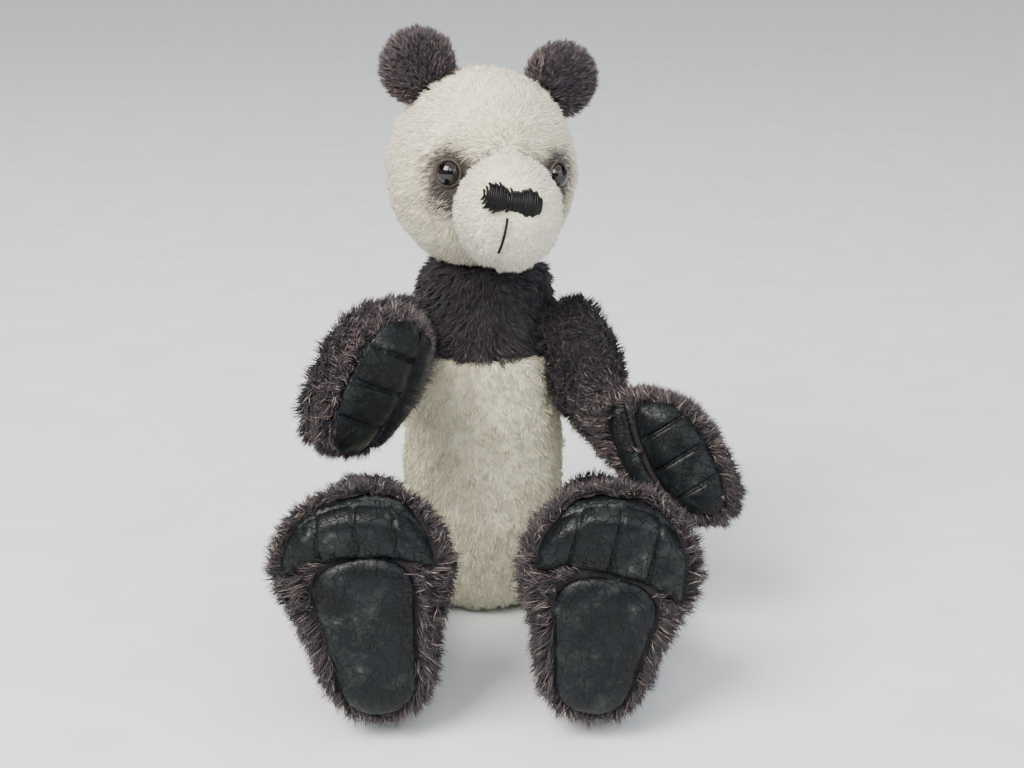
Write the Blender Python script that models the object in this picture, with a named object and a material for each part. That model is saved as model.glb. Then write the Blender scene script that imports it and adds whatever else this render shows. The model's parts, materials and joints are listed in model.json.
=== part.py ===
"""A small jointed panda of pile fabric, sitting with its legs forward.

The frame: the panda faces -Y, +Z is up, and +X is the panda's own left. The origin is the middle
of the flat seat under the body. Head, arms and legs turn on five disc joints: in each, a split pin
goes through a washer and a board disc inside the limb, through both fabrics, and through a second
board disc and washer inside the body, where the ends of the pin are curled over.
All sizes are written in millimetres and turned to metres by MM.
"""

import math

import bmesh
import bpy
from mathutils import Matrix, Vector

MM = 0.001

# Fabric, and the room that touching pieces keep between them.
WALL = 0.8
GAP = 0.3
FILLING_DEPTH = 2.8
ARM_FILLING_DEPTH = 3.2
BODY_POINTS = 22
LIMB_POINTS = 16

# Body: height, half width, half depth, and how far the ring sits towards the back.
BODY_RINGS = (
    (0.0, 10.0, 8.6, 0.6),
    (1.3, 12.6, 11.2, 0.4),
    (5.0, 15.2, 14.2, -0.2),
    (12.0, 16.6, 15.8, -0.6),
    (21.0, 16.9, 16.4, -1.0),
    (31.0, 16.4, 15.9, -1.2),
    (42.0, 15.6, 14.8, -1.2),
    (53.0, 14.5, 13.6, -1.0),
    (60.0, 13.8, 12.8, -0.8),
    (65.0, 13.0, 12.0, -0.8),
    (69.0, 11.4, 10.8, -1.2),
    (71.5, 8.0, 8.0, -1.8),
)
# The body leans a little to the panda's left from this height to its top.
LEAN_FROM_Z = 30.0
LEAN_X = 0.6
YOKE_EDGE_Z = 54.0
POUCH_TOP_Z = 7.2

# Head: a ball with the muzzle sewn on its front. The head is turned a little to the panda's left.
HEAD_CENTRE = Vector((0.2, -2.0, 88.4))
HEAD_RADIUS = 18.5
HEAD_YAW = math.radians(16)
HEAD_ROLL = math.radians(4)
MUZZLE_PLACE = Vector((0.0, -19.2, -4.2))
MUZZLE_HALF = Vector((9.4, 10.2, 10.2))
EYE_LEFT_PLACE = Vector((9.7, -14.0, 1.6))
EYE_RADIUS = 2.25
EYE_DOME = 1.7
EAR_HALF = Vector((6.6, 1.9, 6.4))
EAR_OUT = 22.6
EAR_ANGLES = {"left": math.radians(40.5), "right": math.radians(35)}
NOSE_PLACE = Vector((-1.9, -28.3, -0.9))
NOSE_LOBE = Vector((2.7, 1.7, 2.3))
NOSE_SPREAD = 2.9
NOSE_TILT = math.radians(7)
MOUTH_LENGTH = 6.6
MOUTH_X = -3.0
MOUTH_SLANT = 0.08
THREAD = 0.5

# Joints: how far the axis stands from the middle, the disc radius, and where the pin lies.
DISC_THICK = 1.2
WASHER_THICK = 0.5
WASHER_RADIUS = 2.7
PIN_HOLE = 1.25
WIRE_RADIUS = 0.38
LEG_SPREAD = 0.46
EYE_LOOP = 1.3
CURL = 1.15
NECK_Z = 71.5
NECK_X = 0.6
NECK_Y = -1.8
SHOULDER_Z = 57.0
SHOULDER_Y = -5.0
SHOULDER_X = 12.1
SHOULDER_TURN = math.radians(20)
SHOULDER_LIFT = math.radians(6)
HIP_Z = 14.5
HIP_Y = -2.0
HIP_X = 15.2
DISC_RADIUS = {"neck": 6.0, "shoulder": 3.6, "hip": 5.2}
PIN_ROOM = 3.9
PIN_ROOM_END = 2.4
LEG_LENGTH = 1.1

# Arms: the way of each centre line (x is measured outwards from the middle), then the paw's frame.
# A ring is its centre, half width, half thickness and squareness.
ARM_WAY = {
    "left": (
        ((16.0, -6.6, 63.2), 4.4, 3.0),
        ((16.3, -6.7, 61.4), 6.8, 4.9),
        ((17.7, -6.9, 57.0), 7.6, 6.2),
        ((19.6, -7.9, 51.6), 7.4, 6.3),
        ((21.9, -9.6, 46.4), 6.9, 6.0),
    ),
    "right": (
        ((14.6, 1.0, 56.2), 4.8, 3.6),
        ((14.8, -1.0, 56.2), 6.8, 5.2),
        ((15.2, -6.0, 56.2), 7.6, 6.4),
        ((15.4, -10.5, 56.4), 7.6, 6.6),
        ((16.2, -15.5, 56.6), 7.6, 6.4),
        ((16.6, -21.5, 56.4), 7.3, 6.2),
        ((16.4, -26.6, 56.2), 7.0, 5.7),
    ),
}
PAW_CENTRE = {"left": (35.8, -17.0, 36.2), "right": (19.6, -37.0, 58.2)}
PAW_FINGERS = {"left": (0.96, -0.16, 0.0), "right": (0.50, -0.78, 0.36)}
PAW_ACROSS = {"left": (0.40, -0.32, -0.85), "right": (0.43, -0.20, -0.88)}
# Along the fingers: distance from the paw's middle, half width across, half thickness.
PAW_RINGS = (
    (-4.8, 12.0, 4.9),
    (-1.8, 12.9, 4.9),
    (1.5, 13.2, 4.9),
    (6.0, 12.4, 4.7),
    (9.0, 9.6, 3.8),
    (10.3, 6.2, 2.4),
)
PAW_FACE = 3.9
PAW_REACH = 16.0
PALM_START = -8.4
PALM_END = -5.0
PALM_BOW = 2.4
PALM_HALF = 8.4
FINGER_MIDDLE = 2.4
FINGER_REACH = 5.8
FINGER_HALF = 11.0
FINGER_SQUARE = 2.5
ARM_REACH = 20.0
PAW_SQUARE = 2.8
ARM_SQUARE = 2.6

# Legs: distance forward of the hip, height of the middle, half width, half height, squareness.
LEG_MIDDLE_X = 23.6
LEG_RINGS = (
    (-9.6, 14.5, 5.0, 5.8, 2.2),
    (-7.8, 14.5, 8.0, 8.8, 2.6),
    (-2.0, 14.5, 8.9, 10.2, 2.8),
    (8.0, 14.2, 8.9, 10.0, 2.8),
    (22.0, 13.2, 8.3, 9.4, 2.4),
    (38.0, 13.4, 8.6, 9.8, 2.2),
)
THIGH_REACH = 38.0
FOOT_MIDDLE_X = {"left": 18.6, "right": 15.4}
LEG_POINTS = 20
# Foot: distance forward of the hip, how much the sole outline is drawn in.
FOOT_STEPS = ((46.5, 3.4), (50.0, 0.6), (54.5, 0.0), (57.6, 1.0), (58.6, 2.4))
FOOT_HEIGHT = 40.0
HEEL_RADIUS = 9.6
TOE_RADIUS = 13.8
TOE_SPREAD = 1.06
FOOT_ROLL = math.radians(8)
FOOT_LEAN = math.radians(4)
PAD_THICK = 0.8
TOE_PAD_HALF = 12.2
TOE_PAD_TOP = 37.2
TOE_PAD_EDGE = {"left": 26.6, "right": 29.6}
TOE_PAD_TILT = {"left": -0.08, "right": 0.08}
TOE_PAD_DROP = 1.8
TOE_PAD_ARCH = 2.0
SOLE_PAD_HALF = 8.4
SOLE_PAD_SHOULDER = {"left": 21.0, "right": 24.2}
HEEL_PAD_HALF = 6.4
HEEL_PAD_Z = 9.0

# Colours as sRGB values, then roughness and metallic.
FINISHES = {
    "cream_pile": ((0.86, 0.83, 0.72), 0.95, 0.0),
    "dark_pile": ((0.16, 0.12, 0.14), 0.95, 0.0),
    "cracked_leather": ((0.10, 0.12, 0.13), 0.5, 0.0),
    "black_thread": ((0.05, 0.05, 0.05), 0.7, 0.0),
    "eye_glass": ((0.08, 0.07, 0.06), 0.05, 0.0),
    "fibre_filling": ((0.90, 0.90, 0.88), 1.0, 0.0),
    "pellet_cloth": ((0.75, 0.72, 0.66), 0.9, 0.0),
    "board": ((0.45, 0.30, 0.18), 0.8, 0.0),
    "steel": ((0.62, 0.62, 0.60), 0.35, 1.0),
}
SHARP_EDGE = math.radians(50)
SIDES = {"left": 1, "right": -1}


def clear_scene():
    for thing in list(bpy.data.objects):
        bpy.data.objects.remove(thing)


def linear(value):
    return value / 12.92 if value <= 0.04045 else ((value + 0.055) / 1.055) ** 2.4


def finish(name):
    """The material of one finish, made on its first use."""
    if name in bpy.data.materials:
        return bpy.data.materials[name]
    colour, roughness, metallic = FINISHES[name]
    made = bpy.data.materials.new(name)
    made.use_nodes = True
    shader = made.node_tree.nodes["Principled BSDF"]
    shader.inputs["Base Color"].default_value = [linear(value) for value in colour] + [1.0]
    shader.inputs["Roughness"].default_value = roughness
    shader.inputs["Metallic"].default_value = metallic
    made.diffuse_color = [linear(value) for value in colour] + [1.0]
    return made


def add_node(name, bm, finish_name, parent=None):
    """A named object from a mesh in millimetres, placed under its joint's empty if it has one."""
    place = parent.location.copy() if parent else Vector()
    bmesh.ops.scale(bm, vec=(MM, MM, MM), verts=bm.verts)
    bmesh.ops.translate(bm, vec=-place, verts=bm.verts)
    mesh = bpy.data.meshes.new(name)
    bm.to_mesh(mesh)
    bm.free()
    mesh.shade_smooth()
    mesh.set_sharp_from_angle(angle=SHARP_EDGE)
    thing = bpy.data.objects.new(name, mesh)
    thing.data.materials.append(finish(finish_name))
    bpy.context.scene.collection.objects.link(thing)
    thing.parent = parent
    return thing


def carve(thing, name, bm):
    """Take a closed shape away from an object and keep the shape as a hidden cutter."""
    cutter = add_node(name, bm, "steel", thing.parent)
    cutter.hide_render = True
    cutter.display_type = "WIRE"
    cut = thing.modifiers.new(name, "BOOLEAN")
    cut.operation = "DIFFERENCE"
    cut.object = cutter


def add_empty(name, place):
    empty = bpy.data.objects.new(name, None)
    empty.location = Vector(place) * MM
    bpy.context.scene.collection.objects.link(empty)
    return empty


def superellipse(value, power):
    return math.copysign(abs(value) ** (2.0 / power), value)


def add_ring(bm, points, ring, cap=False):
    """One ring of a loft: a circle reshaped, then stretched to the half axes side and rise."""
    centre, side, rise, shape = ring
    circle = bmesh.ops.create_circle(bm, segments=points, radius=1.0, cap_ends=cap)
    for vert in circle["verts"]:
        if shape == "sole":
            across, up = sole_point(vert.co.x, vert.co.y)
        else:
            across, up = superellipse(vert.co.x, shape), superellipse(vert.co.y, shape)
        vert.co = Vector(centre) + side * across + rise * up
    return list({edge for vert in circle["verts"] for edge in vert.link_edges})


def loft(points, rings):
    """A closed skin through rings, each given as centre, side, rise and shape."""
    bm = bmesh.new()
    last = None
    for number, ring in enumerate(rings):
        edges = add_ring(bm, points, ring, cap=number in (0, len(rings) - 1))
        if last:
            bmesh.ops.bridge_loops(bm, edges=last + edges)
        last = edges
    bmesh.ops.recalc_face_normals(bm, faces=bm.faces)
    return bm


def inset_rings(rings, depth):
    """The rings of the same skin drawn in by a depth, with both ends drawn in as far."""
    if depth == 0:
        return rings
    places = [0.0]
    for before, after in zip(rings, rings[1:]):
        places.append(places[-1] + (after[0] - before[0]).length)
    low, high = depth, places[-1] - depth
    wanted = [low] + [place for place in places if low + 0.3 < place < high - 0.3] + [high]
    found = []
    for place in wanted:
        index = max(number for number in range(len(rings) - 1) if places[number] <= place)
        share = (place - places[index]) / (places[index + 1] - places[index])
        before, after = rings[index], rings[index + 1]
        centre, side, rise = (before[part].lerp(after[part], share) for part in range(3))
        side = side.normalized() * (side.length - depth)
        rise = rise.normalized() * (rise.length - depth)
        found.append((centre, side, rise, after[3] if share > 0.5 else before[3]))
    return found


def slice_off(bm, point, normal):
    """Remove what lies beyond a plane and close the cut with a flat face."""
    everything = list(bm.verts) + list(bm.edges) + list(bm.faces)
    cut = bmesh.ops.bisect_plane(bm, geom=everything, plane_co=Vector(point),
                                 plane_no=Vector(normal), clear_outer=True)
    edges = [item for item in cut["geom_cut"] if isinstance(item, bmesh.types.BMEdge)]
    if edges:
        bmesh.ops.edgeloop_fill(bm, edges=edges)
        bmesh.ops.remove_doubles(bm, verts=bm.verts, dist=0.08)
        bmesh.ops.recalc_face_normals(bm, faces=bm.faces)


def press_flat(bm, point, normal, reach):
    """Push the skin near a point back to a plane, where a board disc or a leather pad lies on it."""
    point, normal = Vector(point), Vector(normal).normalized()
    for vert in bm.verts:
        proud = (vert.co - point).dot(normal)
        if proud > 0 and (vert.co - point).length < reach:
            vert.co -= normal * proud
    bmesh.ops.recalc_face_normals(bm, faces=bm.faces)


def cylinder(start, end, radius, points=16):
    """A round bar between two points."""
    start, end = Vector(start), Vector(end)
    bm = bmesh.new()
    turn = (end - start).to_track_quat("Z", "Y").to_matrix().to_4x4()
    place = Matrix.Translation((start + end) / 2) @ turn
    bmesh.ops.create_cone(bm, cap_ends=True, segments=points, radius1=radius, radius2=radius,
                          depth=(end - start).length, matrix=place)
    return bm


def ball(half, place, points=18, levels=12):
    """An ellipsoid with its half axes, in the frame that the matrix place gives."""
    bm = bmesh.new()
    stretch = Matrix.Diagonal((half[0], half[1], half[2], 1.0))
    bmesh.ops.create_uvsphere(bm, u_segments=points, v_segments=levels, radius=1.0,
                              matrix=place @ stretch)
    bmesh.ops.recalc_face_normals(bm, faces=bm.faces)
    return bm


def wire(name, way, radius, finish_name, parent):
    """A bent wire: a tube along its centre line, closed at both ends."""
    data = bpy.data.curves.new(name, "CURVE")
    data.dimensions = "3D"
    data.bevel_depth = radius * MM
    data.bevel_resolution = 1
    data.use_fill_caps = True
    line = data.splines.new("POLY")
    line.points.add(len(way) - 1)
    for point, place in zip(line.points, way):
        point.co = (*(Vector(place) * MM - parent.location), 1.0)
    thing = bpy.data.objects.new(name, data)
    data.materials.append(finish(finish_name))
    bpy.context.scene.collection.objects.link(thing)
    thing.parent = parent
    return thing


def frame_on(axis):
    """Two directions square to an axis: across and up."""
    axis = Vector(axis).normalized()
    helper = Vector((0, 0, 1)) if abs(axis.z) < 0.9 else Vector((1, 0, 0))
    across = axis.cross(helper).normalized()
    return across, across.cross(axis).normalized()


def ring_plate(point, axis, start, thick, radius, hole, points):
    """A flat ring on an axis: its outline is set in, then spun round as a plate with a hole."""
    across, _ = frame_on(axis)
    corners = ((start, hole), (start + thick, hole), (start + thick, radius), (start, radius))
    bm = bmesh.new()
    verts = [bm.verts.new(Vector(point) + axis * along + across * out) for along, out in corners]
    face = bm.faces.new(verts)
    bmesh.ops.spin(bm, geom=[face] + list(face.edges) + verts, cent=Vector(point), axis=axis,
                   angle=2 * math.pi, steps=points, use_merge=True)
    bmesh.ops.remove_doubles(bm, verts=bm.verts, dist=0.01)
    drop_inner_faces(bm)
    bmesh.ops.recalc_face_normals(bm, faces=bm.faces)
    return bm


def drop_inner_faces(bm):
    """Delete the profile faces that a full spin leaves inside, known by edges with three faces."""
    inside = [face for face in bm.faces if all(len(edge.link_faces) > 2 for edge in face.edges)]
    bmesh.ops.delete(bm, geom=inside, context="FACES_ONLY")


def pin_way(point, axis):
    """The centre line of a split pin: curled end, leg, eye, leg, curled end."""
    across, _ = frame_on(axis)
    washer_face = GAP * 3 + WALL + DISC_THICK + WASHER_THICK
    leg_end = washer_face + CURL + LEG_LENGTH
    eye_middle = GAP + washer_face + EYE_LOOP + WIRE_RADIUS + GAP
    half = []
    tip = leg_end - 0.85
    half.append((LEG_SPREAD + 2 * CURL, -tip))
    for step in range(7):
        angle = math.pi * step / 6
        half.append((LEG_SPREAD + CURL + CURL * math.cos(angle), -leg_end - CURL * math.sin(angle)))
    start = math.asin(LEG_SPREAD / EYE_LOOP)
    half.append((LEG_SPREAD, eye_middle - EYE_LOOP * math.cos(start) - 0.5))
    for step in range(5):
        angle = start + 0.12 + (math.pi - start - 0.12) * step / 4
        half.append((EYE_LOOP * math.sin(angle), eye_middle - EYE_LOOP * math.cos(angle)))
    other = [(-out, along) for out, along in reversed(half[:-1])]
    return [Vector(point) + axis * along + across * out for out, along in half + other]


def hardware(joint, limb, point, axis, radius, body_empty, limb_empty):
    """The five hidden pieces of one disc joint, and the room that each side leaves for them."""
    axis = Vector(axis).normalized()
    board = GAP + WALL
    washer = board + DISC_THICK + GAP
    for side, empty, turn, offset in (("body", body_empty, -axis, 0.0), (limb, limb_empty, axis, GAP)):
        disc = ring_plate(point, turn, offset + board, DISC_THICK, radius, PIN_HOLE, LIMB_POINTS)
        add_node(f"{joint}_disc_{side}", disc, "board", empty)
        ring = ring_plate(point, turn, offset + washer, WASHER_THICK, WASHER_RADIUS, PIN_HOLE, 12)
        add_node(f"{joint}_washer_{side}", ring, "steel", empty)
    wire(f"{joint}_split_pin", pin_way(point, axis), WIRE_RADIUS, "steel", limb_empty)


def make_room(thing, name, point, axis, radius, offset):
    """Hollow a filling for the disc, the washer and the pin's end, open at its flat face."""
    point = Vector(point)
    axis = Vector(axis).normalized()
    plate_end = offset + GAP * 3 + WALL + DISC_THICK + WASHER_THICK
    pin_end = plate_end + 2 * CURL + PIN_ROOM_END
    carve(thing, f"{name}_disc_room", cylinder(point, point + axis * plate_end, radius + GAP * 1.5))
    carve(thing, f"{name}_pin_room", cylinder(point, point + axis * pin_end, PIN_ROOM, 12))


def pin_hole(thing, name, point, axis):
    point, axis = Vector(point), Vector(axis).normalized()
    carve(thing, f"{name}_hole", cylinder(point - axis * 2.5, point + axis * 2.5, PIN_HOLE, 12))


def shoulder_axis(sign):
    """Outwards, turned a little to the front and, as the body narrows upwards, a little up."""
    flat = Vector((sign * math.cos(SHOULDER_TURN), -math.sin(SHOULDER_TURN), 0))
    return flat * math.cos(SHOULDER_LIFT) + Vector((0, 0, math.sin(SHOULDER_LIFT)))


def joint_points():
    """Where each joint's plane meets its axis, and the axis, which points away from the body."""
    found = {"neck": (Vector((NECK_X, NECK_Y, NECK_Z)), Vector((0, 0, 1)))}
    for side, sign in SIDES.items():
        shoulder = Vector((LEAN_X + sign * SHOULDER_X, SHOULDER_Y, SHOULDER_Z))
        found[f"shoulder_{side}"] = (shoulder, shoulder_axis(sign))
        found[f"hip_{side}"] = (Vector((sign * HIP_X, HIP_Y, HIP_Z)), Vector((sign, 0, 0)))
    return found


def lean_at(height):
    """How far the body's middle stands to the panda's left at a height."""
    share = (height - LEAN_FROM_Z) / (SHOULDER_Z - LEAN_FROM_Z)
    return LEAN_X * min(max(share, 0.0), 1.0)


def body_skin(joints, depth=0.0):
    """The body's skin, or the same shape drawn in by a depth, flat where the limbs turn."""
    rings = [(Vector((lean_at(z), back, z)), Vector((wide, 0, 0)), Vector((0, deep, 0)), 2.0)
             for z, wide, deep, back in BODY_RINGS]
    bm = loft(BODY_POINTS, inset_rings(rings, depth))
    for name, (point, axis) in joints.items():
        if name != "neck":
            slice_off(bm, point - axis * depth, axis)
    return bm


def slab(low, high, reach=40.0):
    """A wide box between two heights."""
    bm = bmesh.new()
    place = Matrix.Translation((0, 0, (low + high) / 2))
    bmesh.ops.create_cube(bm, size=1.0, matrix=place @ Matrix.Diagonal((reach, reach, high - low, 1)))
    return bm


def build_body(joints, root):
    top, bottom = BODY_RINGS[-1][0] + 5, -5.0
    yoke = add_node("body_yoke", body_skin(joints), "dark_pile", root)
    belly = add_node("body_belly", body_skin(joints), "cream_pile", root)
    for thing in (yoke, belly):
        carve(thing, f"{thing.name}_inside", body_skin(joints, WALL))
    carve(yoke, "yoke_edge", slab(bottom, YOKE_EDGE_Z + GAP / 2))
    carve(belly, "belly_edge", slab(YOKE_EDGE_Z - GAP / 2, top))
    filling = add_node("body_filling", body_skin(joints, FILLING_DEPTH), "fibre_filling", root)
    pouch = add_node("pellet_pouch", body_skin(joints, FILLING_DEPTH), "pellet_cloth", root)
    carve(filling, "filling_floor", slab(bottom, POUCH_TOP_Z + GAP))
    carve(pouch, "pouch_top", slab(POUCH_TOP_Z, top))
    for name, (point, axis) in joints.items():
        pin_hole(belly if "hip" in name else yoke, name, point, axis)
        make_room(filling, f"body_{name}", point, -axis, DISC_RADIUS[name.split("_")[0]], 0.0)


def head_frame():
    """The head's own frame: +X is the panda's left, -Y is the way it looks."""
    return (Matrix.Translation(HEAD_CENTRE) @ Matrix.Rotation(HEAD_YAW, 4, "Z")
            @ Matrix.Rotation(HEAD_ROLL, 4, "Y"))


def head_skin(frame, point, axis, depth=0.0):
    bm = ball((HEAD_RADIUS - depth,) * 3, frame, 22, 14)
    slice_off(bm, point + axis * (GAP + depth), -axis)
    return bm


def build_head(joints, empty):
    frame = head_frame()
    point, axis = joints["neck"]
    shell = add_node("head_shell", head_skin(frame, point, axis), "cream_pile", empty)
    carve(shell, "head_inside", head_skin(frame, point, axis, WALL))
    pin_hole(shell, "head_neck", point + axis * GAP, axis)
    filling = add_node("head_filling", head_skin(frame, point, axis, FILLING_DEPTH), "fibre_filling",
                       empty)
    make_room(filling, "head_neck", point, axis, DISC_RADIUS["neck"], GAP)
    build_muzzle(frame, empty)
    for side, sign in SIDES.items():
        build_ear(frame, side, sign, empty)
        build_eye(frame, side, sign, shell, filling, empty)


def build_muzzle(frame, empty):
    place = frame @ Matrix.Translation(MUZZLE_PLACE)
    cover = add_node("muzzle_cover", ball(MUZZLE_HALF, place), "cream_pile", empty)
    inside = [half - WALL for half in MUZZLE_HALF]
    carve(cover, "muzzle_inside", ball(inside, place))
    packed = [half - WALL - GAP for half in MUZZLE_HALF]
    filling = add_node("muzzle_filling", ball(packed, place), "fibre_filling", empty)
    for thing in (cover, filling):
        carve(thing, f"{thing.name}_seat", ball((HEAD_RADIUS + GAP,) * 3, frame, 22, 14))
    build_nose(frame, place, empty)


def build_nose(frame, place, empty):
    """Nose: two stitched lobes and the narrow bar between them. Mouth: one long stitch below."""
    tilt = frame @ Matrix.Translation(NOSE_PLACE) @ Matrix.Rotation(NOSE_TILT, 4, "Y")
    bar = add_node("nose_stitching", ball((NOSE_SPREAD, 1.3, 1.5), tilt, 12, 8), "black_thread", empty)
    for side, sign in SIDES.items():
        lobe_place = tilt @ Matrix.Translation((sign * NOSE_SPREAD, 0.6, 0.1))
        lobe = add_node(f"nose_lobe_{side}", ball(NOSE_LOBE, lobe_place, 12, 8), "black_thread", empty)
        lobe.hide_render = True
        lobe.display_type = "WIRE"
        join = bar.modifiers.new(lobe.name, "BOOLEAN")
        join.operation = "UNION"
        join.object = lobe
    proud = [half + GAP for half in MUZZLE_HALF]
    carve(bar, "nose_seat", ball(proud, place, 18, 12))
    way = []
    for step in range(9):
        height = -0.3 - MOUTH_LENGTH * step / 8
        side = (MOUTH_X + MOUTH_SLANT * height) / MUZZLE_HALF[0]
        depth = math.sqrt(1 - side ** 2 - ((height + 1.0) / MUZZLE_HALF[2]) ** 2) * MUZZLE_HALF[1]
        way.append(place @ Vector((MOUTH_X + MOUTH_SLANT * height, -(depth + GAP + THREAD), height + 1.0)))
    wire("mouth_stitch", way, THREAD / 2, "black_thread", empty)


def build_ear(frame, side, sign, empty):
    lean = Matrix.Rotation(sign * EAR_ANGLES[side], 4, "Y")
    place = frame @ lean @ Matrix.Translation((0, 1.0, EAR_OUT))
    ear = add_node(f"ear_{side}", ball(EAR_HALF, place, 16, 10), "dark_pile", empty)
    carve(ear, f"ear_{side}_seat", ball((HEAD_RADIUS + GAP,) * 3, frame, 22, 14))


def build_eye(frame, side, sign, shell, filling, empty):
    """A glass eye: a dome on the fabric, with a wire loop that goes into the head."""
    out = Vector((sign * EYE_LEFT_PLACE.x, EYE_LEFT_PLACE.y, EYE_LEFT_PLACE.z)).normalized()
    turn = out.to_track_quat("Z", "Y").to_matrix().to_4x4()
    place = frame @ turn @ Matrix.Translation((0, 0, HEAD_RADIUS + GAP))
    dome = ball((EYE_RADIUS, EYE_RADIUS, EYE_DOME), place, 14, 10)
    slice_off(dome, place @ Vector(), place.to_3x3() @ Vector((0, 0, -1)))
    add_node(f"eye_{side}", dome, "eye_glass", empty)
    way = []
    for step in range(9):
        angle = math.pi * step / 8
        way.append(place @ Vector((0.55 * math.cos(angle), 0, -3.4 - 0.55 * math.sin(angle))))
    way = [place @ Vector((0.55, 0, -GAP))] + way + [place @ Vector((-0.55, 0, -GAP))]
    wire(f"eye_loop_{side}", way, 0.2, "steel", empty)
    start, end = place @ Vector((0, 0, 2.0)), place @ Vector((0, 0, -4.8))
    carve(shell, f"eye_hole_{side}", cylinder(start, end, 1.2, 10))
    carve(filling, f"eye_room_{side}", cylinder(start, end, 1.3, 10))


def mirrored(values, sign):
    return Vector((sign * values[0], values[1], values[2]))


def arm_rings(side, sign):
    """Rings down the arm, square to its centre line, then the flat rings of the paw."""
    way = [mirrored(centre, sign) for centre, _, _ in ARM_WAY[side]]
    fingers = mirrored(PAW_FINGERS[side], sign).normalized()
    across = mirrored(PAW_ACROSS[side], sign).normalized()
    middle = mirrored(PAW_CENTRE[side], sign)
    outward = shoulder_axis(sign)
    face = paw_face_normal(side, sign)
    rings = []
    for number, (_, wide, thick) in enumerate(ARM_WAY[side]):
        ahead = way[number + 1] if number + 1 < len(way) else middle + fingers * PAW_RINGS[0][0]
        behind = way[max(number - 1, 0)]
        along = (ahead - behind).normalized()
        blend = max(0, number - len(way) + 4) / 3
        flat = outward.lerp(-face, blend).normalized()
        flat = (flat - along * flat.dot(along)).normalized()
        rings.append((way[number], along.cross(flat) * wide, flat * thick, ARM_SQUARE))
    for shift, wide, thick in PAW_RINGS:
        rings.append((middle + fingers * shift, across * (-sign * wide), face * -thick, PAW_SQUARE))
    return rings


def paw_face_normal(side, sign):
    """The way the paw's leather faces: square to the fingers and to the paw's width."""
    fingers = mirrored(PAW_FINGERS[side], sign).normalized()
    across = mirrored(PAW_ACROSS[side], sign).normalized()
    return (fingers.cross(across) * -sign).normalized()


def plate_pad(outline, centre, side, rise, normal):
    """A leather pad: its outline lies on the limb and is drawn out to the leather's thickness."""
    bm = bmesh.new()
    verts = [bm.verts.new(centre + side * x + rise * y) for x, y in outline]
    face = bm.faces.new(verts)
    solid = bmesh.ops.extrude_face_region(bm, geom=[face])
    top_verts = [item for item in solid["geom"] if isinstance(item, bmesh.types.BMVert)]
    bmesh.ops.translate(bm, vec=normal * PAD_THICK, verts=top_verts)
    bmesh.ops.recalc_face_normals(bm, faces=bm.faces)
    return bm


def paw_outlines():
    """Outlines in the paw's plane: x along the fingers, y across. A palm band, then the fingers."""
    palm, fingers = [], []
    for step in range(11):
        angle = math.pi * (step / 10 - 0.5)
        palm.append((PALM_START + PALM_BOW * math.sin(angle) ** 2, PALM_HALF * math.sin(angle)))
    for step in range(11):
        angle = math.pi * (0.5 - step / 10)
        palm.append((PALM_END + 0.5 * PALM_BOW * math.sin(angle) ** 2, (PALM_HALF + 0.6) * math.sin(angle)))
    for step in range(20):
        angle = 2 * math.pi * (step + 0.5) / 20
        reach = FINGER_REACH * superellipse(math.cos(angle), FINGER_SQUARE)
        fingers.append((FINGER_MIDDLE + reach, FINGER_HALF * superellipse(math.sin(angle), FINGER_SQUARE)))
    return {"palm_pad": palm, "finger_pad": fingers}


def arm_skin(side, sign, point, axis, depth=0.0):
    """The arm's skin, flat at the joint and where the paw's leather lies."""
    bm = loft(LIMB_POINTS, inset_rings(arm_rings(side, sign), depth))
    press_flat(bm, point + axis * (GAP + depth), -axis, ARM_REACH)
    face = paw_face_normal(side, sign)
    press_flat(bm, mirrored(PAW_CENTRE[side], sign) + face * (PAW_FACE - depth), face, PAW_REACH)
    return bm


def build_limb(name, skin, point, axis, disc, packed, empty):
    """A hollow shell with its pin hole, and the filling with room for the disc and the pin."""
    shell = add_node(f"{name}_shell", skin(0.0), "dark_pile", empty)
    carve(shell, f"{name}_inside", skin(WALL))
    pin_hole(shell, name, point + axis * GAP, axis)
    filling = add_node(f"{name}_filling", skin(packed), "fibre_filling", empty)
    make_room(filling, name, point, axis, disc, GAP)


def build_arm(side, sign, point, axis, empty):
    build_limb(f"arm_{side}", lambda depth: arm_skin(side, sign, point, axis, depth), point, axis,
               DISC_RADIUS["shoulder"], ARM_FILLING_DEPTH, empty)
    face = paw_face_normal(side, sign)
    middle = mirrored(PAW_CENTRE[side], sign)
    fingers = mirrored(PAW_FINGERS[side], sign).normalized()
    across = mirrored(PAW_ACROSS[side], sign).normalized()
    base = middle + face * (PAW_FACE + GAP)
    for name, outline in paw_outlines().items():
        pad = plate_pad(outline, base, fingers, across, face)
        add_node(f"{name}_{side}", pad, "cracked_leather", empty)


def sole_width(height):
    """Half width of the foot at a height: a heel arc below, a wider toe arc above."""
    toe_middle = FOOT_HEIGHT - TOE_RADIUS / TOE_SPREAD
    if height <= HEEL_RADIUS * 0.8:
        return math.sqrt(max(0.0, HEEL_RADIUS ** 2 - (HEEL_RADIUS - height) ** 2))
    if height >= toe_middle:
        rise = (height - toe_middle) * TOE_SPREAD
        return math.sqrt(max(0.0, TOE_RADIUS ** 2 - rise ** 2))
    low = math.sqrt(HEEL_RADIUS ** 2 - (HEEL_RADIUS * 0.2) ** 2)
    share = (height - HEEL_RADIUS * 0.8) / (toe_middle - HEEL_RADIUS * 0.8)
    return low + (TOE_RADIUS - low) * (3 * share ** 2 - 2 * share ** 3)


def sole_point(x, y):
    """A point of the sole's outline, from a point of the unit circle, in half widths and heights."""
    wide = sole_width(FOOT_HEIGHT * (0.5 + 0.5 * y)) / TOE_RADIUS
    return (math.copysign(wide, x) if abs(x) > 0.01 else 0.0), y


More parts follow.
